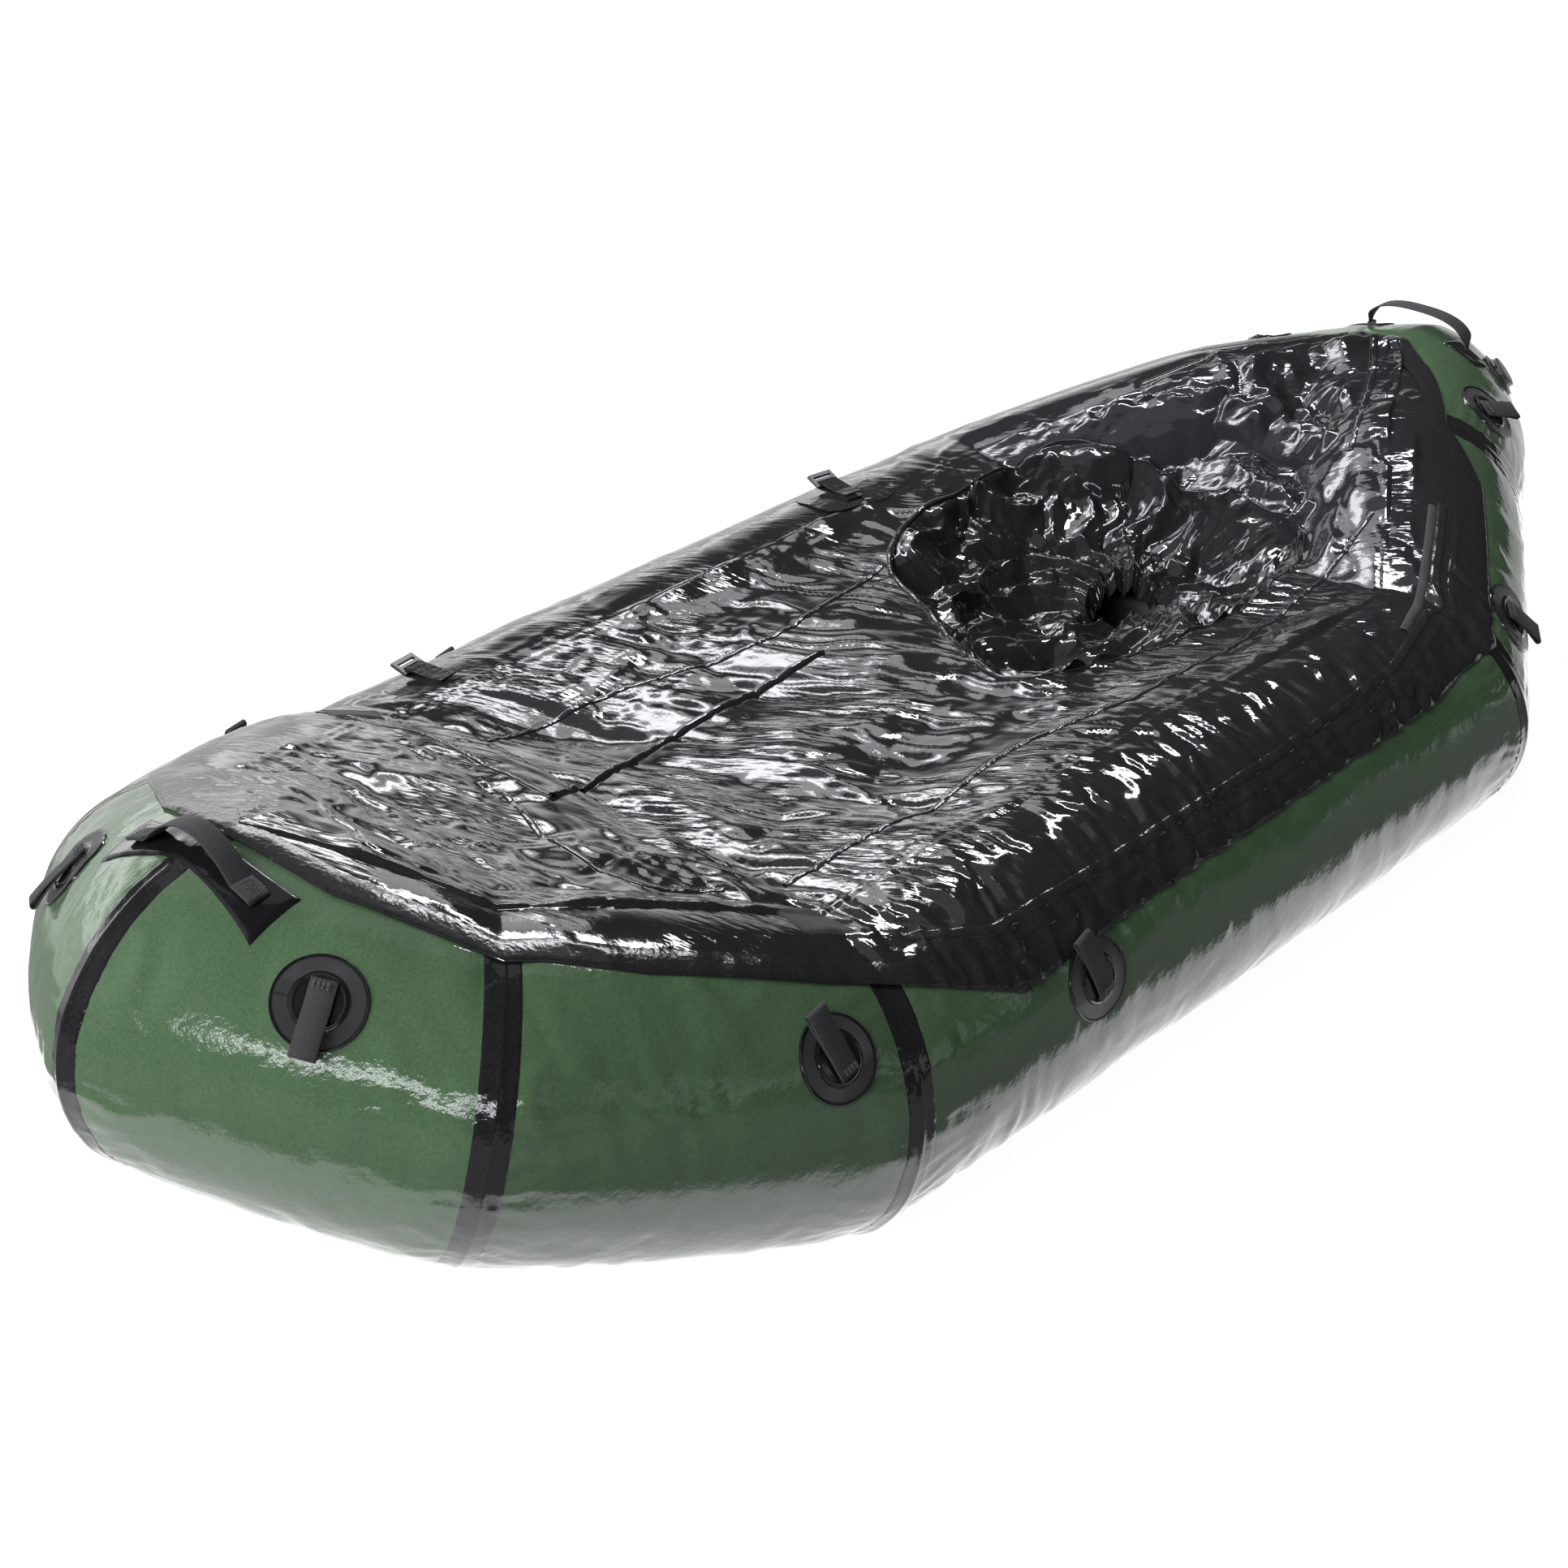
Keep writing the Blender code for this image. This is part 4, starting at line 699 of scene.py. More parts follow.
def build_tapes():
    """Nine seam tapes, each laid over the mitre with a ridge along its middle."""
    quarter = np.linspace(0, math.pi / 2, 12)
    shares = np.concatenate((-np.cos(quarter)[:-1], np.sin(quarter)))
    turns = np.linspace(-math.pi, math.pi, 320, endpoint=False)
    for index, name in enumerate(SEAMS):
        for side_name, side in SIDES if index else SIDES[:1]:
            rows = []
            for across in shares:
                # The bow's tape lies on the port bow panel and on its mirror image
                mirrored = across < 0 and not index
                panel = index if across >= 0 or mirrored else index - 1
                away = across * TAPE_W / 2 / length_at(panel, turns)
                place = index + (-away if mirrored else away)
                rows.append(skin(place, turns, tape_section(across), -side if mirrored else side))
            below = tube(index + TAPE_W / 2 / length_at(index, turns), turns, -0.02, side)
            points = np.array([*rows, rows[-1] + (below - rows[-1]) * 0.04])
            label = f"seam_tape_{name}" + (f"_{side_name}" if index else "")
            grid_piece(label + "_band", points, "hull", TAPE, (label,), True, side < 0)


# Deck rows: how the ring place of a deck row changes with the angle up the tube
ROW_ANGLES = np.radians(np.linspace(20.0, 112.0, 93))
MIDDLE_COLUMN = 55


def place_at_x(x):
    """Ring places, one for each angle, at which the tube's skin has an X value."""
    low, high = np.zeros_like(ROW_ANGLES), np.full_like(ROW_ANGLES, 4.0)
    for _ in range(34):
        middle = (low + high) / 2
        ahead = tube(np.minimum(middle, 3.999999), ROW_ANGLES)[..., 0] > x
        low, high = np.where(ahead, middle, low), np.where(ahead, high, middle)
    return (low + high) / 2


def find_rows():
    """Ring place of each deck row at each angle."""
    rows = [np.full_like(ROW_ANGLES, place) for place in BOW_ROWS]
    rows.append(place_at_x(SPLIT_X))
    rows += [np.full_like(ROW_ANGLES, place) for place in CORNER_ROWS]
    for share in HATCH_SHARES:
        seam = np.full_like(ROW_ANGLES, 3.0)
        rows.append(seam if share is None else place_at_x(SPLIT_X - HATCH_L * share))
    rows += [np.full_like(ROW_ANGLES, place) for place in STERN_ROWS]
    return np.minimum(np.array(rows), 4.999999)


ROW_TABLE = find_rows()


def row_place(row, angle):
    """Ring place of a deck row, which may lie between two of the table's, at an angle."""
    row, angle = np.broadcast_arrays(np.asarray(row, float), np.asarray(angle, float))
    k = np.clip(row.astype(int), 0, len(ROW_TABLE) - 2)
    f = row - k
    column = (angle - ROW_ANGLES[0]) / (ROW_ANGLES[1] - ROW_ANGLES[0])
    c = np.clip(column.astype(int), 0, len(ROW_ANGLES) - 2)
    g = np.clip(column - c, 0, 1)
    near = ROW_TABLE[k, c] * (1 - g) + ROW_TABLE[k, c + 1] * g
    far = ROW_TABLE[k + 1, c] * (1 - g) + ROW_TABLE[k + 1, c + 1] * g
    return near * (1 - f) + far * f


def line_angle(row, line):
    """Angle at which a weld line crosses a deck row."""
    places, degrees = zip(*line)
    angle = np.full(np.shape(row), math.radians(50.0))
    for _ in range(ROUNDS):
        angle = np.radians(np.interp(row_place(row, angle), places, degrees))
    return angle


def tube_lot(side, lift=0.0, rough=False):
    """Points and quads of one side of the tube ring, for casting rays."""
    places = np.concatenate([p + np.linspace(0, 1 - TINY, 40) for p in range(5)])
    turns = np.linspace(-math.pi, math.pi, 160, endpoint=False)
    grid = (skin if rough else tube)(places[:, None], turns[None, :], lift, side)
    return grid, grid_faces(len(places), len(turns), True, side < 0)


PLAIN_TREE = tree_of(tube_lot(1.0, DECK_LIFT), tube_lot(-1.0, DECK_LIFT))
SKIN_TREE = tree_of(tube_lot(1.0, 0.0, True), tube_lot(-1.0, 0.0, True))


HANG_COLUMNS = 7
HANG_ROUNDS = 90


def stretch_deck():
    """How far the deck hangs under its crests: cloth pulled taut over the tubes, then sagging."""
    rows = np.arange(len(ROW_TABLE), dtype=float)
    crests = tube(row_place(rows, CREST), CREST, DECK_LIFT)
    shares = np.linspace(0.0, 1.0, HANG_COLUMNS)
    heights = np.repeat(crests[:, 2:3], HANG_COLUMNS, 1)
    across = crests[:, 1:2] * (1 - 2 * shares)
    ground = drop_on(PLAIN_TREE, uv_of(crests[:, 0:1], across))
    ground = np.where(ground > 0, ground + DRAPE, -1.0)
    for _ in range(HANG_ROUNDS):
        around = heights[:-2, 1:-1] + heights[2:, 1:-1] + heights[1:-1, :-2] + heights[1:-1, 2:]
        heights[1:-1, 1:-1] = np.maximum(around / 4, ground[1:-1, 1:-1])
    sag = np.interp(crests[:, 0:1], (-HATCH_L / 2, 0.0), (STERN_SAG, DECK_SAG))
    heights = heights - sag * 64 * shares * (1 - shares) * (crests[:, 1:2] / HULL_W) ** 2
    heights[1:-1, 1:-1] = np.maximum(heights[1:-1, 1:-1], ground[1:-1, 1:-1])
    return crests[:, 2:3] - heights


HANG = stretch_deck()


def cubic_at(table, place):
    """Smooth values of a table's first axis between its rows."""
    k = np.clip(np.asarray(place, float).astype(int), 0, len(table) - 2)
    t = (place - k).reshape(place.shape + (1,) * (table.ndim - 1))
    a, b = table[np.maximum(k - 1, 0)], table[k]
    c, d = table[k + 1], table[np.minimum(k + 2, len(table) - 1)]
    bend, twist = a - 2.5 * b + 2 * c - d / 2, (d - a) / 2 + 1.5 * (b - c)
    return b + (c - a) * t / 2 + bend * t**2 + twist * t**3


def dense_rows(first, last, step=0.0048):
    """Deck rows between two of the table's, about a step apart."""
    rows = []
    for k in range(first, last):
        a, b = tube(ROW_TABLE[k:k + 2, MIDDLE_COLUMN], ROW_ANGLES[MIDDLE_COLUMN])
        count = max(2, int(np.linalg.norm(a - b) / step))
        rows.append(k + np.arange(count) / count)
    return np.concatenate((*rows, [float(last)]))


# Edge of the cockpit mouth in plan
MOUTH = even_path((
    (-0.013, 0.090), (-0.050, 0.020), (-0.095, -0.058), (-0.122, -0.110), (-0.150, -0.170),
    (-0.200, -0.210), (-0.262, -0.236), (-0.351, -0.243), (-0.460, -0.243), (-0.530, -0.222),
    (-0.566, -0.160), (-0.577, -0.060), (-0.574, 0.060), (-0.560, 0.128), (-0.520, 0.157),
    (-0.420, 0.176), (-0.309, 0.182), (-0.190, 0.163), (-0.090, 0.140), (-0.029, 0.124),
    (-0.013, 0.090)), 0.004)


def mouth_distance(xy):
    """Distance in plan to the edge of the cockpit mouth, negative inside it."""
    flat = np.asarray(xy, float).reshape(-1, 2)
    sights = (flat - WAIST, MOUTH[:-1] - WAIST)
    turn, rim_turn = (np.arctan2(away[:, 1], away[:, 0]) for away in sights)
    reach, rim_reach = (np.hypot(away[:, 0], away[:, 1]) for away in sights)
    order = np.argsort(rim_turn)
    rim = np.interp(turn, rim_turn[order], rim_reach[order], period=math.tau)
    near = np.full(len(flat), 9.0)
    for start in range(0, len(MOUTH), 60):
        gap = flat[:, None] - MOUTH[start:start + 60]
        near = np.minimum(near, np.hypot(gap[..., 0], gap[..., 1]).min(1))
    return np.where(reach < rim, -near, near).reshape(np.shape(xy)[:-1])


def side_of(xy, start, end):
    """Distance in plan from a line, positive to port of a line that runs aft."""
    start, end = np.asarray(start), np.asarray(end)
    way = unit(end - start)
    away = xy - start
    return away[..., 0] * way[1] - away[..., 1] * way[0]


RIDGE_STARBOARD = ((-0.589, -0.229), (-0.922, -0.052))
RIDGE_PORT = ((-0.621, 0.144), (-0.917, -0.007))


def deck_relief(points, over):
    """Wrinkles of the deck film. over is 1 on top of the tubes and 0 on the free span."""
    x, y = points[..., 0], points[..., 1]
    xy = points[..., :2]
    near = mouth_distance(xy)
    rim = np.exp(-np.maximum(near, 0) / 0.07)
    bow = smooth(0.50, 0.62, x)
    aft = smooth(-0.52, -0.64, x)
    port = smooth(-0.16, -0.06, y)
    free = 1 - 0.80 * over
    hollow = smooth(0.0, 0.04, side_of(xy, *RIDGE_STARBOARD))
    hollow = hollow * smooth(0.0, 0.04, -side_of(xy, *RIDGE_PORT))
    hollow = hollow * smooth(-0.44, -0.54, x) * (1 - smooth(0.3, 0.5, over))
    hollow = hollow * smooth(-0.98, -0.92, x)
    perch = smooth(-0.70, -0.80, x)
    mid = (1 - bow) * (1 - aft)
    knot = np.exp(-(((x + 0.01) / 0.09) ** 2 + ((y - 0.19) / 0.06) ** 2))
    patchy = smooth(-0.45, 0.35, noise(points, 0.12, 61))
    slow = layered(noise, points, (0.0088, 0.17, 11), (0.0026, 0.08, 17)) * free
    flats = 0.0078 * facets(points, 0.115, 12, 0.6, (112.0, 1.7)) * free
    small = 0.0021 * facets(points, 0.042, 13, 0.6, (112.0, 1.5))
    small = small * (0.35 + 1.1 * rim + 0.2 * bow + 1.6 * knot) * (1 - 0.8 * over)
    tiny = 0.0007 * facets(points, 0.018, 14, 0.6) * (0.20 + 0.9 * rim + 1.5 * knot)
    tiny = tiny * (1 - 0.7 * bow) * (1 - 0.8 * over)
    fine = 0.00052 * fibres(points, 122.0, 0.0085, 7.0, 21) * port
    fine = fine + 0.00045 * fibres(points, 116.0, 0.0085, 7.0, 27) * (1 - port)
    lines = fine * patchy + 0.0013 * fibres(points, 118.0, 0.022, 5.0, 24)
    lines = lines * mid * (1 - 0.55 * over)
    lines = lines + 0.0010 * fibres(points, 12.0, 0.030, 6.0, 30) * (1 - port) * mid
    flow = 0.0024 * fibres(points, 82.0, 0.030, 4.0, 33)
    flow = flow + 0.0008 * fibres(points, 76.0, 0.013, 5.0, 36) * patchy
    flow = flow + 0.0009 * rays(points, (0.40, 0.05), 44, 45)
    puckers = (0.0016 + 0.0016 * smooth(0.30, 0.36, y)) * fibres(points, 84.0, 0.013, 5.0, 39)
    puckers = puckers * over * mid * port
    total = slow + flats + small + tiny + lines + flow * bow * (1 - 0.35 * over) + puckers
    crush = smooth(-0.44, -0.56, x)
    crush = crush * (1 - smooth(0.86, 1.0, over) * (1 - smooth(0.10, 0.04, near)))
    crushed = layered(facets, points, (0.0078, 0.058, 71, 0.6), (0.0034, 0.025, 72, 0.6),
                      (0.0005, 0.011, 73, 0.6))
    deep = layered(facets, points, (0.0215, 0.062, 41, 0.6), (0.0080, 0.028, 42, 0.6),
                   (0.0009, 0.013, 43, 0.5))
    total = total * (1 - 0.6 * crush) + crushed * crush
    return total * (1 - hollow) + (deep * (1 - 0.45 * perch) - 0.010 + 0.016 * perch) * hollow


def blend_up(normal, share):
    """A direction that goes from the tube's normal at the crest to straight up."""
    up = np.zeros_like(normal)
    up[..., 2] = 1.0
    weight = smooth(0.0, 0.16, np.minimum(share, 1 - share))[..., None]
    return unit(normal * (1 - weight) + up * weight)


def tube_normal(place, angle, side):
    """Directions square to the plain tube."""
    step = 1e-4
    return unit(tube(place, angle, step, side) - tube(place, angle, 0.0, side))


def tube_part(rows, first, last, steps, side):
    """Plain points, directions and closeness to the tube, from one angle to another on each row."""
    shares = np.linspace(0, 1, steps + 1)
    angle = first[:, None] + (last - first)[:, None] * shares
    place = row_place(rows[:, None], angle)
    points = tube(place, angle, DECK_LIFT, side)
    over = 1 - smooth(math.radians(80.0), CREST, angle) * 0.6
    return points, tube_normal(place, angle, side), over


def span_part(rows, shares):
    """Plain points, directions and closeness to the tube, between the crests."""
    place = row_place(rows, CREST)
    crest = tube(place, CREST, DECK_LIFT)
    normal = tube_normal(place, CREST, 1.0)
    x = np.repeat(crest[:, 0:1], shares.shape[-1], 1)
    shares = np.broadcast_to(shares, x.shape)
    y = crest[:, 1:2] * (1 - 2 * shares)
    hang = np.empty_like(x)
    along = cubic_at(HANG, rows)
    for index in range(len(rows)):
        hang[index] = cubic_at(along[index], shares[index] * (HANG_COLUMNS - 1))
    z = crest[:, 2:3] - hang
    points = np.stack((x, y, z), -1)
    ground = drop_on(PLAIN_TREE, points[..., :2])
    low = np.where(ground > 0, ground + 0.0015, -1.0)
    points[..., 2] = np.maximum(points[..., 2], low)
    side = np.where(shares > 0.5, -1.0, 1.0)
    outward = np.repeat(normal[:, None, :], x.shape[1], 1)
    outward[..., 1] *= side
    over = 0.4 * (1 - smooth(0.0, 0.12, np.minimum(shares, 1 - shares)))
    return points, blend_up(outward, shares), over


def hold_up(lift):
    """Relief on top of the tube, which can't sink into it."""
    return (lift + np.sqrt(lift * lift + 0.002**2)) / 2 - 0.0011


def perched(points, ground, clear, amount):
    """Points held above the tube, where film that lies on it keeps some crushed height."""
    low = np.where(ground > 0, ground + clear, -1.0)
    sunk = smooth(0.0, 0.008, low - points[..., 2] + 0.003)
    crushed = 1 + facets(points, 0.060, 81, 0.6) + 0.45 * facets(points, 0.026, 82, 0.6)
    shaped = points.copy()
    shaped[..., 2] = np.maximum(points[..., 2], low) + np.maximum(crushed, 0.0) * amount * sunk
    return shaped


def shape_deck(parts):
    """Lay the parts of a deck piece side by side and wrinkle the film, clear of the tubes."""
    points = np.concatenate([part[0] for part in parts], 1)
    ways = np.concatenate([part[1] for part in parts], 1)
    over = np.concatenate([part[2] for part in parts], 1)
    lift = deck_relief(points, over)
    lift = np.where(over > LYING, hold_up(lift), lift)
    shaped = points + ways * lift[..., None]
    free = over < LYING
    ground = drop_on(PLAIN_TREE, shaped[free][:, :2])
    shaped[free] = perched(shaped[free], ground, 0.0006, 0.0038)
    return points, shaped


# Columns of the deck film on a tube, and the closeness to the tube that counts as lying on it
ON_TUBE = 40
LYING = 0.45
DECK_LOTS = []


def area_of(points, keep=None):
    """Area of a grid of points."""
    total = 0.0
    for corner in (points[:-1, :-1], points[1:, 1:]):
        sides = np.cross(points[1:, :-1] - corner, points[:-1, 1:] - corner)
        total = total + np.linalg.norm(sides, axis=-1) / 2
    return float(total[keep].sum() if keep is not None else total.sum())


def lengths_of(points):
    """Longest row and longest column of a grid of points."""
    along = np.linalg.norm(np.diff(points, axis=0), axis=-1).sum(0).max()
    across = np.linalg.norm(np.diff(points, axis=1), axis=-1).sum(1).max()
    return float(across), float(along)


def cloth(plain, keep=None):
    """Measure a deck piece as a sheet, cut to the plain surface's size; nothing is kept."""
    width, length = lengths_of(plain)
    area = min(area_of(plain, keep), width * length)


def deck_cloth(node, parts, body, flip=False, closed=False):
    """One piece of deck film from its parts, kept for rays."""
    plain, shaped = shape_deck(parts)
    DECK_LOTS.append((shaped, grid_faces(*shaped.shape[:2])))
    item = grid_piece(node + "_film", shaped, body, BLACK, (node,), flip=flip)
    if closed:
        weld(item.data)
    cloth(plain)


def build_fixed_deck():
    """Bow deck, stern deck and the two strips welded along the side tubes."""
    for name, first, last in (("bow_deck", 0, FIRST_HATCH), ("stern_deck", LAST_HATCH, LAST_ROW)):
        rows = dense_rows(first, last)
        edge, crest = line_angle(rows, EDGE_LINE), np.full(len(rows), CREST)
        port, starboard = (tube_part(rows, edge, crest, ON_TUBE, side) for _, side in SIDES)
        span = span_part(rows, np.linspace(0, 1, 132)[1:-1])
        far = tuple(v[:, ::-1] for v in starboard)
        deck_cloth(name, (port, span, far), "hull", closed=True)
    rows = dense_rows(FIRST_HATCH, LAST_HATCH)
    edge, crest = line_angle(rows, EDGE_LINE), np.full(len(rows), CREST)
    flap = line_angle(rows, FLAP_LINE)
    deck_cloth("deck_strip_port", (tube_part(rows, edge, flap, 18, 1.0),), "hull")
    fold = span_part(rows, (1 - FOLD_SHARE * np.linspace(0, 1, 6)[1:])[None, :])
    deck_cloth("deck_strip_starboard", (tube_part(rows, edge, crest, ON_TUBE, -1.0), fold), "hull",
               flip=True)


def weld(mesh):
    """Join the points that meet where rows close up at an end of the boat."""
    solid = bmesh.new()
    solid.from_mesh(mesh)
    bmesh.ops.remove_doubles(solid, verts=solid.verts, dist=5e-5)
    bmesh.ops.dissolve_degenerate(solid, edges=solid.edges, dist=5e-5)
    solid.to_mesh(mesh)
    solid.free()


def build_hatch():
    """The panel that opens to starboard, with its mouth cut along a smooth edge."""
    rows = dense_rows(FIRST_HATCH, LAST_HATCH, 0.0042)
    flap = line_angle(rows, FLAP_LINE)
    shares = np.linspace(0, 1 - FOLD_SHARE, 134)[1:]
    near = tube_part(rows, flap, np.full(len(rows), CREST), 28, 1.0)
    plain, shaped = shape_deck((near, span_part(rows, shares[None, :])))
    away = mouth_distance(shaped[..., :2])
    inside = away < 0
    keep = ~(inside[:-1, :-1] & inside[1:, :-1] & inside[:-1, 1:] & inside[1:, 1:])
    touching = np.zeros_like(inside)
    for di, dj in np.ndindex(2, 2):
        touching[di:di + keep.shape[0], dj:dj + keep.shape[1]] |= keep
    for i, j in np.argwhere(touching & inside):
        index = np.argmin(np.hypot(*(MOUTH - shaped[i, j, :2]).T))
        shaped[i, j, :2] = MOUTH[index]
    DECK_LOTS.append((shaped, grid_faces(*shaped.shape[:2], keep=keep)))
    item = grid_piece("deck_panel_film", shaped, "deck", BLACK, ("deck_panel",), keep=keep)
    cloth(plain, keep)
    return tree_of((shaped, grid_faces(*shaped.shape[:2])))


def build_skirt(panel_tree):
    """Spray skirt: a crushed funnel of film from the mouth down to its waist."""
    turns, rings = 460, 110
    rim = even_path(MOUTH, 0.002)[:-1]
    angle = np.arctan2(rim[:, 1] - WAIST[1], rim[:, 0] - WAIST[0])
    order = np.argsort(angle)
    turn = np.linspace(-math.pi, math.pi, turns, endpoint=False)
    x = np.interp(turn, angle[order], rim[order, 0], period=math.tau)
    y = np.interp(turn, angle[order], rim[order, 1], period=math.tau)
    rim_z = drop_on(panel_tree, np.stack((x, y), -1), 0.30)
    u = np.linspace(0, 1, rings)[:, None]
    drop = np.interp(u, (0, 0.15, 0.42, 0.72, 1.0), (0, 0.40, 0.70, 0.88, 1.0))
    drop = drop * 0.5 + (1 - (1 - u) ** 2.2) * 0.5
    waist = WAIST + np.stack((np.cos(turn), np.sin(turn)), -1) * WAIST_HALF
    flat = np.stack((x, y), -1)[None] * (1 - u[..., None]) + waist[None] * u[..., None]
    z = rim_z[None] + (WAIST_Z - rim_z[None]) * drop
    plain = np.concatenate((flat, z[..., None]), -1)
    env = smooth(0.0, 0.07, u)
    seed = plain * (1.0, 1.0, 0.6)
    shaped = plain.copy()
    for axis, size, amount, number in (
            (0, 0.080, 0.016, 51), (1, 0.080, 0.016, 52), (2, 0.085, 0.022, 53),
            (0, 0.036, 0.0044, 54), (1, 0.036, 0.0044, 55), (2, 0.038, 0.0064, 56),
            (2, 0.016, 0.0010, 57)):
        shaped[..., axis] += facets(seed, size, number, 0.5) * amount * env
    bend = noise(plain, 0.09, 58) * 1.2
    shaped[..., 2] += 0.008 * fold_wave(turn[None] * 12 / math.tau + bend, 0.2) * env
    held = perched(shaped, drop_on(SKIN_TREE, shaped[..., :2]), 0.004, 0.0095)
    shaped[..., 2] = np.maximum(shaped[..., 2] * (1 - env) + held[..., 2] * env, 0.1)
    shaped = np.concatenate((shaped, shaped[:, :1]), 1)
    plain = np.concatenate((plain, plain[:, :1]), 1)
    lower = np.linspace(0, 1, 16)[1:, None]
    sleeve = shaped[-1:] * 1.0
    inward = np.concatenate((WAIST, (0.0,))) - sleeve
    inward[..., 2] = 0.0
    fall = sleeve + inward * (0.10 * lower + 0.12 * lower**2)[..., None]
    fall[..., 2] -= 0.024 * lower
    shaped = np.concatenate((shaped, fall))
    # The skirt's darker film is painted shade in the hollow of the mouth.
    item = grid_piece("spray_skirt_film", shaped, "deck", SHADED_SKIRT, ("spray_skirt",), flip=True)
    weld(item.data)
    cloth(plain)
    lip = even_path(np.concatenate((np.stack((x, y), -1), rim_z[:, None]), 1)[::4], 0.004)
    ridge = np.concatenate((lip, lip[:1]))
    front = smooth(-0.44, -0.30, ridge[:-1, 0]) * smooth(0.19, 0.10, ridge[:-1, 1])
    hem(ridge[:-1] + (0, 0, 0.0002), "mouth_hem", 0.0008 + 0.0018 * front, "deck", BLACK)


def hem(ring, name, radius, body, finish, sides=10):
    """A stitched roll of film round a closed ring of points."""
    ahead = unit(np.roll(ring, -1, 0) - np.roll(ring, 1, 0))
    up = np.zeros_like(ring)
    up[:, 2] = 1.0
    out = unit(np.cross(ahead, up))
    up = unit(np.cross(out, ahead))
    turn = np.linspace(0, math.tau, sides, endpoint=False)
    pinch = 1 + 0.18 * noise(ring, 0.009, 61) + 0.12 * noise(ring, 0.03, 62)
    reach = (radius * pinch)[:, None, None]
    cos, sin = np.cos(turn)[None, :, None], np.sin(turn)[None, :, None]
    rows = ring[:, None, :] + reach * (cos * out[:, None, :] * 1.5 + sin * up[:, None, :])
    grid_piece(name, np.concatenate((rows, rows[:1])), body, finish, wrap=True)


# Strips and seams laid on the deck
DOWN = Vector((0.0, 0.0, -1.0))
LINE_STEP = 0.0035


def lay_line(path, step, tree):
    """A path in plan dropped on a surface: points and normals."""
    flat = even_path(path, step)
    points, normals = [], []
    for x, y in flat:
        hit, normal = tree.ray_cast(Vector((x, y, 1.0)), DOWN)[:2]
        if hit is None:
            continue
        points.append(tuple(hit))
        normals.append(tuple(normal if normal.z > 0 else -normal))
    points, normals = np.array(points), np.array(normals)
    kernel = np.ones(5) / 5
    for axis in range(3):
        normals[:, axis] = np.convolve(np.pad(normals[:, axis], 2, "edge"), kernel, "valid")
    return points, unit(normals)


def beside(path):
    """Directions in plan to the left of a path."""
    ahead = unit(np.gradient(path, axis=0))
    return np.stack((-ahead[:, 1], ahead[:, 0]), -1)


def ribbon(name, path, width, height, tree, body, finish, lift=0.0006, taper=0.0):
    """A strip laid on a surface along a path, its middle raised by height."""
    centre, _ = lay_line(path, LINE_STEP, tree)
    across = beside(centre[:, :2])
    shares = np.linspace(-1, 1, 7)
    run = np.linspace(0, 1, len(centre))
    narrow = 1 - taper * (1 - smooth(0.0, 0.12, run)) - taper * smooth(0.88, 1.0, run)
    away = (shares[None, :, None] * width / 2) * narrow[:, None, None]
    xy = centre[:, None, :2] + across[:, None, :] * away
    z = drop_on(tree, xy, np.nan)
    z = np.where(np.isnan(z), centre[:, None, 2], z)
    z = z + lift + height * np.cos(shares * math.pi / 2)[None, :]
    z[:, (0, -1)] -= lift * 1.6
    points = np.concatenate((xy, z[..., None]), -1)
    uv = uv_of(shares[None, :] * width / 2, (run * len(run) * LINE_STEP)[:, None])
    grid_piece(name, points, body, finish, uv=uv)


def value_at(distance, run, values):
    """A line of points' value at a distance along it."""
    return np.array([np.interp(distance, run, column) for column in values.T])


# Each ring of a stitch: share of its length, size and height in radii
STITCH_RINGS = ((0.0, 0.15, -0.3), (0.2, 1.0, 0.6), (0.8, 1.0, 0.6), (1.0, 0.15, -0.3))


def stitches(name, lines, body, length=0.0030, gap=0.0014, radius=0.00035):
    """Rows of thread along lines of points and normals, each stitch a slim six-sided grain."""
    lots = []
    turn = np.linspace(0, math.tau, 6, endpoint=False)[:, None]
    for points, normals in lines:
        run = run_of(points)
        for start in np.arange(0, run[-1] - length, length + gap):
            a, b = (value_at(start + ahead, run, points) for ahead in (0.0, length))
            n = value_at(start, run, normals)
            way = unit(b - a)
            n = unit(n - way * (n @ way))
            side = np.cross(way, n)
            rings = [a + (b - a) * share + n * radius * up
                     + (np.cos(turn) * side + np.sin(turn) * n) * radius * size
                     for share, size, up in STITCH_RINGS]
            lots.append((np.array(rings), grid_faces(4, 6, True)))
    return piece(name, join_lots(lots), body, THREAD)


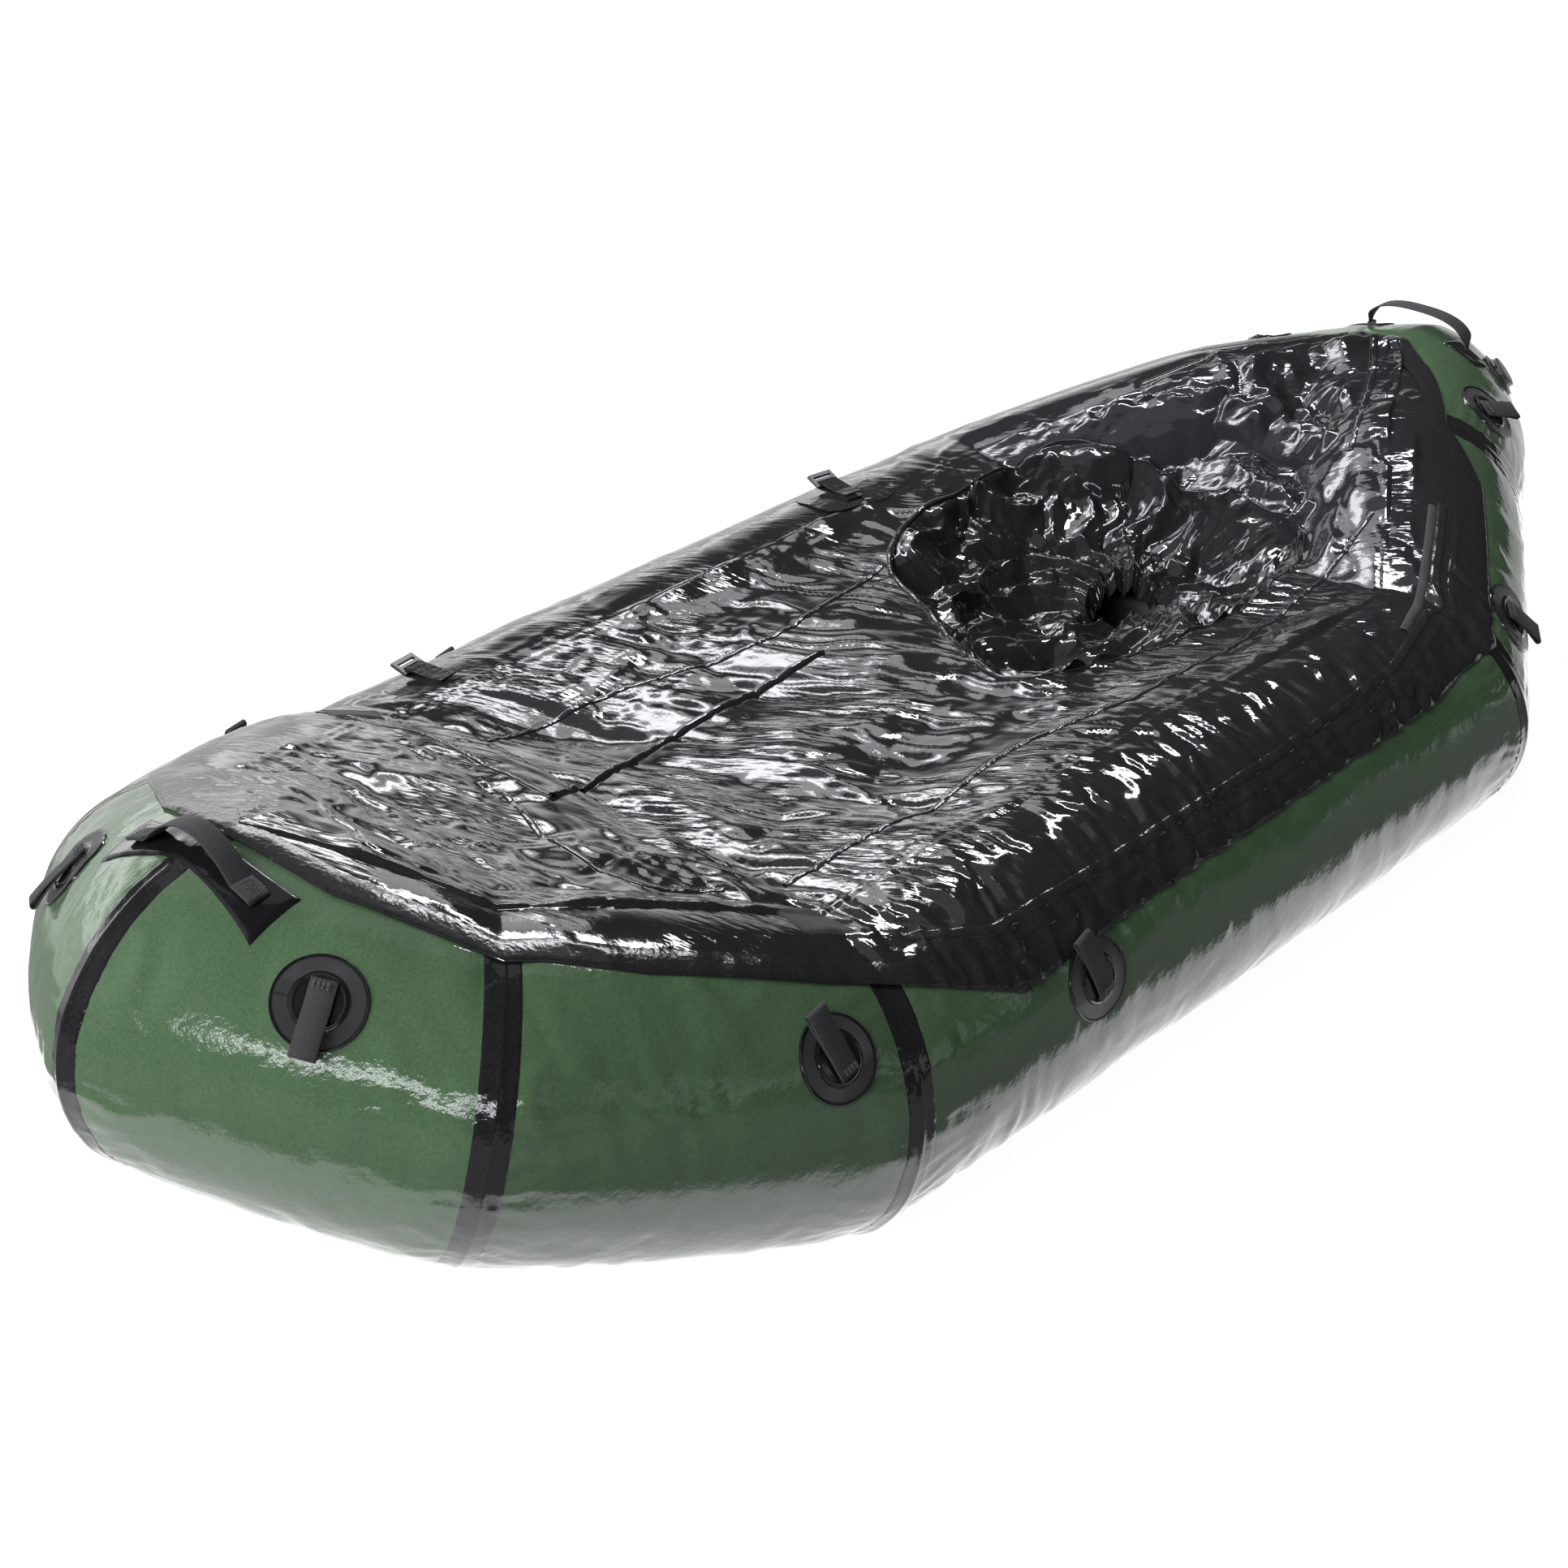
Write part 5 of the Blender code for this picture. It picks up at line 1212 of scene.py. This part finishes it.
def build_deck_lines(panel_tree, hull_tree):
    """Stitched seams and pleat of the deck."""
    seams = (
        ("seam_starboard", ((0.486, -0.186), (0.353, -0.190), (0.252, -0.180), (0.103, -0.150),
                            (-0.060, -0.168), (-0.150, -0.186)), "deck"),
        ("seam_port", ((0.490, 0.232), (0.367, 0.230), (0.274, 0.230), (0.126, 0.218),
                       (-0.068, 0.243), (-0.338, 0.228), (-0.578, 0.211)), "deck"),
        ("seam_bow", ((0.588, -0.332), (0.563, -0.185), (0.562, -0.081), (0.556, -0.016)), "hull"),
        ("fold_bow", ((0.591, -0.051), (0.639, 0.089), (0.636, 0.158), (0.554, 0.212)), "hull"),
        ("ridge_starboard", ((-0.664, -0.189), (-0.740, -0.150), (-0.823, -0.110),
                             (-0.922, -0.052)), "hull"),
        ("ridge_port", ((-0.664, 0.122), (-0.740, 0.088), (-0.820, 0.051),
                        (-0.917, -0.007)), "hull"),
    )
    for name, path, body in seams:
        tree = panel_tree if body == "deck" else hull_tree
        ribbon("deck_" + name, path, 0.009, 0.0010, tree, body, BLACK)
        flat = even_path(path, 0.004)
        points, normals = lay_line(flat + beside(flat) * 0.0062, 0.004, tree)
        stitches(f"deck_{name}_thread", [(points + normals * 0.0004, normals)], body)
    ribbon("deck_pleat_fore", ((0.556, -0.016), (0.506, -0.034)), 0.013, 0.0042, hull_tree,
           "hull", BLACK)
    ribbon("deck_pleat_aft", ((0.494, -0.038), (0.368, -0.077), (0.237, -0.087), (0.142, -0.085),
                              (0.073, -0.081)), 0.013, 0.0042, panel_tree, "deck", BLACK,
           taper=0.5)


def band(name, rows, angle, side, body, rise):
    """A strip of film on top of the wrinkled deck film, where that lies on the tube."""
    place = row_place(rows[:, None], angle)
    plain = tube(place, angle, DECK_LIFT, side)
    crumple = hold_up(deck_relief(plain, np.ones(plain.shape[:-1])))
    points = tube(place, angle, DECK_LIFT + crumple + rise, side)
    grid_piece(name, points, body, BAND, flip=side < 0)


def build_bands():
    """Bands that follow the flap edge and the weld edge of the deck, placed in degrees from it."""
    rows = dense_rows(FIRST_HATCH, LAST_HATCH, 0.006)[4:-4]
    flap = line_angle(rows, FLAP_LINE)
    shares = np.linspace(-1, 1, 9)[None, :]
    for name, body, middle, half, lift in (("flap_edge_band", "deck", 2.6, 2.2, 0.0012),
                                           ("flap_base_band", "hull", -4.2, 1.6, 0.0005)):
        angle = flap[:, None] + np.radians(middle + shares * half)
        band(name, rows, angle, 1.0, body, lift * (1 - 0.8 * np.abs(shares) ** 6))
    rows = dense_rows(0, LAST_ROW, 0.006)
    shares = np.linspace(0, 1, 9)[None, :]
    angle = line_angle(rows, EDGE_LINE)[:, None] + np.radians(shares * 9.5 - 0.35)
    for side_name, side in SIDES:
        band(f"weld_band_{side_name}", rows, angle, side, "hull",
             0.0009 * (1 - shares**4) - 0.0018 * (shares < 0.01))


def pull_tab(name, corners, tree):
    """A four-sided piece of webbing laid on the deck, from its corners in plan."""
    height = 0.0022
    a, b, c, d = (np.array(corner) for corner in corners)
    share = np.linspace(0, 1, 14)
    u, v = share[:, None, None], share[None, :, None]
    xy = (a * (1 - u) + b * u) * (1 - v) + (d * (1 - u) + c * u) * v
    z = drop_on(tree, xy, np.nan)
    z = np.where(np.isnan(z), np.nanmean(z), z) + height
    rim = (u[..., 0] * (1 - u[..., 0]) < 1e-9) | (v[..., 0] * (1 - v[..., 0]) < 1e-9)
    z = z - np.where(rim, height * 1.2, 0.0)
    points = np.concatenate((xy, z[..., None]), -1)
    grid_piece(name, points, "hull", WEB, uv=xy)


def build_tabs(panel_tree, hull_tree):
    """Two pull tabs beside the mouth's bow end and the hook strip aft."""
    pull_tab("pull_tab_port", ((0.557, 0.281), (0.510, 0.274), (0.509, 0.343), (0.563, 0.325)),
             hull_tree)
    pull_tab("pull_tab_starboard",
             ((0.583, -0.340), (0.526, -0.308), (0.540, -0.280), (0.596, -0.294)), hull_tree)
    ribbon("hook_strip_aft", ((-0.629, 0.262), (-0.560, 0.300), (-0.470, 0.345), (-0.405, 0.368)),
           0.012, 0.0008, panel_tree, "deck", RIBBED, lift=0.0010)


# Fittings on the tube
def matrix_of(axes, origin):
    """Matrix whose columns are three axes and an origin."""
    matrix = Matrix.Identity(4)
    for column, axis in enumerate(axes):
        for row in range(3):
            matrix[row][column] = float(axis[row])
    matrix.translation = Vector(origin)
    return matrix


def tube_frame(place, angle, side):
    """Matrix on the tube: X along it towards the bow, Y up round it, Z out of it."""
    step = 1e-4
    origin = tube(place, angle, 0.0, side)
    up = unit(tube(place, angle + step, 0.0, side) - tube(place, angle - step, 0.0, side))
    along = tube(place - step, angle, 0.0, side) - tube(place + step, angle, 0.0, side)
    out = unit(np.cross(up, along)) * side
    ahead = unit(along - up * (along @ up))
    return matrix_of((ahead, up, out), origin)


def lay(matrix, x, y, lift):
    """Points of the skin under places in a frame's plane, lifted along the skin's normal."""
    out = matrix.col[2].to_3d()
    x, y, lift = np.broadcast_arrays(x, y, lift)
    found = np.empty((x.size, 3))
    for index, (a, b, h) in enumerate(zip(x.ravel(), y.ravel(), lift.ravel())):
        start = matrix @ Vector((a, b, 0.08))
        hit, normal = SKIN_TREE.ray_cast(start, -out)[:2]
        if hit is None:
            hit, normal = matrix @ Vector((a, b, 0.0)), out
        if normal.dot(out) < 0:
            normal = -normal
        normal = (normal + out * 0.6).normalized()
        found[index] = hit + normal * h
    return found.reshape(*x.shape, 3)


def patch_height(radius):
    """Height of a round patch over the skin by distance from its middle."""
    edge = 0.0017 * (1 - smooth(PATCH_R - 0.0009, PATCH_R, radius))
    edge = edge - 0.0006 * smooth(PATCH_R - 0.0004, PATCH_R, radius)
    lip = 0.0006 * np.exp(-(((radius - 0.0425) / 0.0009) ** 2))
    ring = 0.0009 * np.exp(-(((radius - 0.0235) / 0.0013) ** 2))
    return edge + lip + ring + 0.0007 * (1 - smooth(0.0225, 0.0245, radius))


def build_patches():
    """Ten round lashing patches with their sewn webbing loops."""
    zones = ((0.0, 0.020, 8), (0.020, 0.028, 12), (0.028, 0.040, 8), (0.040, PATCH_R, 9))
    radii = np.unique(np.concatenate([np.linspace(*zone) for zone in zones]))
    turn = np.linspace(0, math.tau, 72, endpoint=False)
    for name, place, degrees, lie_deg in PATCHES:
        place = steady(place, math.radians(degrees))
        for side_name, side in SIDES:
            matrix = tube_frame(place, math.radians(degrees), side)
            reach = radii[:, None]
            points = lay(matrix, reach * np.cos(turn), reach * np.sin(turn), patch_height(reach))
            label = f"patch_{name}_{side_name}"
            item = grid_piece(label + "_disc", points, "hull", PATCH, (label,), True,
                              uv=uv_of(reach, turn[None, :]))
            weld(item.data)
            build_loop(name, side_name, matrix, math.radians(lie_deg))


# The webbing loops: from a patch's middle back to the root, height of the patch under the webbing,
# length to the eye, its radius and rise to it
LOOP_ROOT = 0.046 * 0.42
LOOP_BASE = 0.0033 + WEB_T / 2
LOOP_REACH, LOOP_EYE, LOOP_RISE = 0.066, 0.0030, 0.0040


def build_loop(name, side_name, matrix, lie):
    """Webbing doubled back on itself, with a small eye at its end, bar-tacked to a patch."""
    ahead = np.array((math.sin(lie), math.cos(lie)))
    across = np.array((ahead[1], -ahead[0]))
    root = -ahead * LOOP_ROOT

    def on_patch(forward, aside, height):
        """Points over the patch, measured from the loop's root."""
        return lay(matrix, root[0] + ahead[0] * forward + across[0] * aside,
                   root[1] + ahead[1] * forward + across[1] * aside, height)

    reach, eye, rise, gap = LOOP_REACH, LOOP_EYE, LOOP_RISE, 0.0006
    path = [(reach * s, rise * s**2) for s in np.linspace(0, 1, 14)]
    for turn in np.radians(np.linspace(-70, 70, 8)):
        path.append((reach + eye * math.cos(turn), rise + eye + eye * math.sin(turn)))
    path += [(reach * s, rise * s**2 + gap + (2 * eye - gap) * s**2)
             for s in np.linspace(1, 0.02, 14)]
    along, height = np.array(path).T
    centre = on_patch(along, 0.0, LOOP_BASE + height + WEB_T / 2)
    out = np.array(matrix.col[2].to_3d())
    wide = np.array(matrix.to_3x3() @ Vector((across[0], across[1], 0.0)))
    ups = np.cross(unit(np.gradient(centre, axis=0)), wide)
    label = f"loop_{name}_{side_name}"
    webbing = piece(label + "_webbing", strap(centre, wide, ups, WEB_W * 0.98, WEB_T * 0.9),
                    None, WEB, (label,))
    lines = []
    for row in range(5):
        thread = on_patch(0.004 + 0.0012 * row, np.linspace(-0.010, 0.010, 8),
                          LOOP_BASE + WEB_T * 1.8 + 0.0012)
        lines.append((thread, np.broadcast_to(out, thread.shape)))
    tack = stitches(label + "_bartack", lines, None, 0.0040, 0.0003, 0.00045)
    for item in (webbing, tack):
        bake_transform(item)


def level_frame(x, y):
    """Level matrix on the skin over a place in plan."""
    return Matrix.Translation(SKIN_TREE.ray_cast(Vector((x, y, 1.0)), DOWN)[0])


BOW_X = LENGTH / 2 - 0.171
STERN_X = -LENGTH / 2 + 0.163
AHEAD = np.array((1.0, 0.0, 0.0))
UP = np.array((0.0, 0.0, 1.0))
# Height of the bow handle's webbing over the skin
BOW_BASE = 0.0028


def build_bow_handle():
    """Bow-tie patch over the bow seam and the webbing grab handle sewn on it."""
    matrix = level_frame(BOW_X, 0.0)
    y = np.linspace(-1, 1, 61)[:, None]
    share = np.linspace(-1, 1, 21)[None, :]
    half = (0.040 + 0.020 * np.abs(y) ** 2) / 2
    rise = 0.0022 * (1 - smooth(0.93, 1.0, np.abs(share))) * (1 - smooth(0.985, 1.0, np.abs(y)))
    points = lay(matrix, share * half, y * 0.102 + 0 * share, 0.0006 + rise)
    grid_piece("bow_handle_patch_cloth", points, "hull", PATCH, ("bow_handle_patch",), flip=True,
               uv=uv_of(0.01 + 0 * share, y))
    end, foot = 0.083, 0.059
    length = np.linspace(-end, end, 72)
    centre = lay(matrix, 0 * length, length, BOW_BASE + WEB_T)
    foot_z = float(lay(matrix, np.zeros(1), np.array((foot,)), BOW_BASE + WEB_T)[0, 2])
    arch = foot_z + 0.034 * (1 - (length / foot) ** 2)
    centre[:, 2] = np.where(np.abs(length) < foot, arch, centre[:, 2])
    centre[:, 0] = BOW_X
    ups = np.cross(AHEAD, unit(np.gradient(centre, axis=0)))
    piece("bow_handle_webbing", strap(centre, AHEAD, ups, WEB_W, WEB_T), "hull", WEB,
          ("bow_handle",))
    lots, lines = [], []
    for sign in (1, -1):
        spots = np.linspace(foot + 0.001, end, 9) * sign
        middle = lay(matrix, 0 * spots, spots, BOW_BASE + WEB_T * 2.1)
        ups = np.cross(AHEAD, unit(np.gradient(middle, axis=0)))
        ups = ups * np.sign(ups[:, 2:3])
        lots.append(strap(middle, AHEAD, ups, WEB_W * 0.98, WEB_T * 0.9)[:2])
        low, high = (foot + 0.003) * sign, 0.080 * sign
        box = ((-0.010, low), (0.010, low), (0.010, high), (-0.010, high), (-0.010, low),
               (0.010, high), (0.010, low), (-0.010, high))
        track = np.concatenate([np.linspace(a, b, 8) for a, b in zip(box, box[1:])])
        thread = lay(matrix, track[:, 0], track[:, 1], BOW_BASE + WEB_T * 2.1 + 0.0014)
        lines.append((thread, np.broadcast_to(UP, thread.shape)))
    piece("bow_handle_ends", join_lots(lots), "hull", WEB)
    stitches("bow_handle_stitching", lines, "hull", 0.0026, 0.0009, 0.00042)


def build_stern_handle():
    """Two sewn pads and the narrow-footed webbing handle that swings between them."""
    y0 = 0.145 / 2
    for side_name, side in SIDES:
        matrix = level_frame(STERN_X, side * y0)
        u = np.linspace(-1, 1, 25)[:, None]
        v = np.linspace(-1, 1, 25)[None, :]
        rise = 0.0017 * (1 - smooth(0.90, 1.0, np.abs(u))) * (1 - smooth(0.92, 1.0, np.abs(v)))
        rim = (np.maximum(np.abs(u), np.abs(v)) - 0.78) / 0.05
        ridge = 0.0005 * np.exp(-(rim**2))
        points = lay(matrix, u * 0.020 + 0 * v, v * 0.026 + 0 * u, 0.0004 + rise + ridge)
        label = f"stern_handle_pad_{side_name}"
        grid_piece(label + "_cloth", points, "hull", PATCH, (label,), uv=np.full((25, 25, 2), 0.01))
    low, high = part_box("stern_handle")
    base = low[2] + 0.0044
    top = high[2] - WEB_T / 2
    turn = np.linspace(0.0, math.pi, 60)
    cos, sin = np.cos(turn), np.sin(turn)
    y = y0 * np.sign(cos) * np.abs(cos) ** 0.8
    z = base + (top - base) * np.abs(sin) ** 0.8
    feet = np.linspace(-0.0036, 0, 4)[:-1]
    y = np.concatenate((np.full(3, y0), y, np.full(3, -y0)))
    z = np.concatenate((base + feet, z, base + feet[::-1]))
    centre = np.stack((np.full(len(y), STERN_X), y, z), -1)
    narrow = 0.0042
    width = (narrow + (WEB_W / 2 - narrow) * smooth(0.0, 0.016, z - base)) * 2
    ups = np.cross(unit(np.gradient(centre, axis=0)), AHEAD)
    rows, quads, uv = strap(centre, AHEAD, ups, 1.0, WEB_T)
    width = np.concatenate((width[:1], width, width[-1:]))[:, None]
    rows[..., 0] = STERN_X + (rows[..., 0] - STERN_X) * width
    piece("stern_handle_webbing", (rows, quads, uv * (WEB_W, 1.0)), "stern_handle_body", WEB,
          ("stern_handle",))


def build_fittings():
    """Show the CAD nodes that need no other shape with a finish and softened edges."""
    valves = ("main_valve_base", "main_valve_cap", "topup_valve_base", "topup_valve_nozzle")
    for nodes, finish, bevel in ((("buckle_fore", "buckle_aft"), PLASTIC, 0.0007),
                                 (valves, PLASTIC, 0.0004),
                                 (("anchor_fore", "anchor_aft"), BAND, 0.0003)):
        for node in nodes:
            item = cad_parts[node]
            item.data.materials.clear()
            item.data.materials.append(finish.material)
            edges = item.modifiers.new("soft_edges", "BEVEL")
            edges.width, edges.segments, edges.limit_method = bevel, 3, "ANGLE"


# Inside
def cushion(name, size, centre, body, node, curve=0.0, puckers=26):
    """An inflated pad: a ball squared off to a box, with a seam and puckers round its side."""
    around, over = 200, 90
    turn = np.linspace(0, math.tau, around, endpoint=False)[None, :]
    rise = np.linspace(-math.pi / 2, math.pi / 2, over)[:, None]
    x, y, z = np.cos(rise) * np.cos(turn), np.cos(rise) * np.sin(turn), np.sin(rise) + 0 * turn
    flat = np.hypot(x, y)
    plan = (np.abs(x) ** 4 + np.abs(y) ** 4) ** 0.25
    grow = np.where(plan > 1e-6, flat / np.maximum(plan, 1e-6), 1.0)
    swell = (flat**4 + np.abs(z) ** 4) ** 0.25
    p = np.stack((x * grow / swell, y * grow / swell, z / swell), -1)
    tuck = np.exp(-((rise / 0.55) ** 2)) * 0.010 * np.sin(turn * puckers + 2 * np.sin(turn * 3))
    seam = 0.022 * np.exp(-((rise / 0.05) ** 2))
    p = p * (1 + tuck + seam - 0.022)[..., None] * np.array(size) / 2
    p[..., 0] += curve * (2 * p[..., 1] / size[1]) ** 2
    item = grid_piece(name, p + centre, body, PAD, (node,), wrap=True, flip=True)
    weld(item.data)


def build_inside():
    """Seat, backrest and floor sheet."""
    seat_z = 0.0013 + 0.075 / 2
    cushion("seat_pad", (0.360, 0.260, 0.075), (-0.340, 0.0, seat_z), "hull", "seat")
    low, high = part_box("backrest")
    cushion("backrest_pad", (0.040, 0.170, 0.125), (-0.473, 0.0, (low[2] + high[2]) / 2),
            "backrest_body", "backrest", 0.012, 16)
    places = np.concatenate([p + np.linspace(0, 1 - TINY, 60) for p in range(5)])
    places = places[(places > 0.06) & (places < 4.94)]
    edge = tube(places, -math.pi / 2) - (0, 0, 0.0016)
    share = np.linspace(1, -1, 90)
    points = edge[:, None, :] * np.stack((np.ones(90), share, np.ones(90)), -1)[None]
    points[..., 2] += 0.0005 * noise(points * (1, 1, 0), 0.09, 71) * (1 - np.abs(share))
    points[..., 2] = np.maximum(points[..., 2], 0.0003)
    item = grid_piece("floor_sheet_fabric", points, "hull", FLOOR, ("floor_sheet",))
    cloth(points)


# Studio
def add_area(name, place, target, size, power):
    """A rectangular lamp that faces a target."""
    lamp = bpy.data.lights.new(name, "AREA")
    lamp.shape, lamp.energy = "RECTANGLE", power
    lamp.size, lamp.size_y = size
    item = show(name, lamp)
    item.location = place
    item.rotation_euler = (Vector(target) - Vector(place)).to_track_quat("-Z", "Y").to_euler()


def ray_kinds(tree):
    """1 for rays from the camera, and 1 for rays from a glossy surface."""
    path = tree.nodes.new("ShaderNodeLightPath")
    return (Value(tree, path.outputs[f"Is {kind} Ray"]) for kind in ("Camera", "Glossy"))


def build_floor():
    """White floor for the camera. In reflections it is bright near the boat and behind it."""
    corners = np.array([[(-60, -60, 0), (60, -60, 0)], [(-60, 60, 0), (60, 60, 0)]], float)
    floor = show("studio_floor", make_mesh("studio_floor", corners, np.array([[0, 1, 3, 2]])))
    finish = bpy.data.materials.new("studio_white")
    finish.use_nodes = True
    tree = finish.node_tree
    tree.nodes.remove(tree.nodes["Principled BSDF"])
    matte = tree.nodes.new("ShaderNodeBsdfDiffuse")
    matte.inputs[0].default_value = (0.11, 0.11, 0.11, 1.0)
    x, y, _ = axes_of(tree, "Object")
    x_share, y_share = x / 1.175, y / 0.475
    reach = (x_share * x_share + y_share * y_share).math("SQRT")
    near = 1.0 - reach.between(1.34, 1.46)
    behind = (x * -0.66 + y * -0.75).between(0.25, 0.60)
    seen, shiny = ray_kinds(tree)
    glow = tree.nodes.new("ShaderNodeEmission")
    strength = seen * 0.96 + shiny * (near * 1.35 + 0.02 + behind * 0.55)
    tree.links.new(strength.socket, glow.inputs["Strength"])
    add = tree.nodes.new("ShaderNodeAddShader")
    tree.links.new(matte.outputs[0], add.inputs[0])
    tree.links.new(glow.outputs[0], add.inputs[1])
    tree.links.new(add.outputs[0], tree.nodes["Material Output"].inputs[0])
    floor.data.materials.append(finish)


def build_world():
    """White for the camera, a pale strip over the horizon for reflections, one soft bright side."""
    world = bpy.data.worlds.new("studio")
    bpy.context.scene.world = world
    world.use_nodes = True
    tree = world.node_tree
    back = tree.nodes["Background"]
    x, y, z = axes_of(tree, "Generated")
    horizon = (x * -0.35 + y * -0.94).between(0.70, 0.93) * (1.0 - z.between(0.06, 0.36))
    mirrored = horizon * 2.2 + 0.05
    key = (x * 0.80 + y * -0.20 + z * 0.57).between(0.62, 1.0)
    spread = key * key * 16.0 + 0.02
    seen, shiny = ray_kinds(tree)
    strength = seen + shiny * mirrored + (1.0 - seen) * (1.0 - shiny) * spread
    tree.links.new(strength.socket, back.inputs["Strength"])
    back.inputs["Color"].default_value = (1.0, 1.0, 1.0, 1.0)


def build_lamps():
    """Broad lamps over and behind the boat, and narrow ones for its long highlights."""
    add_area("lamp_over", (-0.4, -0.6, 3.2), (0.0, 0.0, 0.2), (3.0, 2.0), 5.0)
    add_area("lamp_box", (-0.62, -1.22, 1.62), (-0.1, 0.0, 0.3), (1.6, 0.78), 8.5)
    add_area("lamp_box_middle", (-0.61, -1.19, 1.59), (-0.1, 0.0, 0.3), (0.9, 0.30), 6.5)
    add_area("lamp_front", (3.2, 2.2, 1.5), (0.3, 0.3, 0.2), (2.4, 0.18), 17.0)
    add_area("lamp_side", (-0.6, 3.2, 0.9), (0.0, 0.3, 0.2), (2.6, 0.3), 1.2)
    add_area("lamp_spark", (-1.3, -0.5, 2.2), (-0.4, 0.0, 0.2), (0.7, 0.20), 15.0)
    bpy.context.scene.view_settings.view_transform = "Standard"


def build_camera():
    """Camera fitted to the photograph's outline and seams."""
    lens = bpy.data.cameras.new("camera")
    lens.lens, lens.sensor_width, lens.sensor_fit = 73.366, 36.0, "HORIZONTAL"
    lens.clip_end = 300.0
    item = show("camera", lens)
    yaw, pitch, roll = 0.724443, 0.513529, 0.004981
    level = math.cos(pitch)
    ahead = np.array((-math.cos(yaw) * level, -math.sin(yaw) * level, -math.sin(pitch)))
    right = unit(np.cross(ahead, UP))
    up = np.cross(right, ahead)
    c, s = math.cos(roll), math.sin(roll)
    right, up = c * right + s * up, -s * right + c * up
    item.matrix_world = matrix_of((right, up, -ahead), (2.46326, 1.97695, 1.91891))
    bpy.context.scene.camera = item


build_panels()
build_tapes()
build_fixed_deck()
PANEL_TREE = build_hatch()
DECK_TREE = tree_of(*DECK_LOTS)
build_skirt(PANEL_TREE)
build_deck_lines(PANEL_TREE, DECK_TREE)
build_bands()
build_tabs(PANEL_TREE, DECK_TREE)
build_patches()
build_bow_handle()
build_stern_handle()
build_fittings()
build_inside()
build_floor()
build_world()
build_lamps()
build_camera()
bpy.context.view_layer.update()
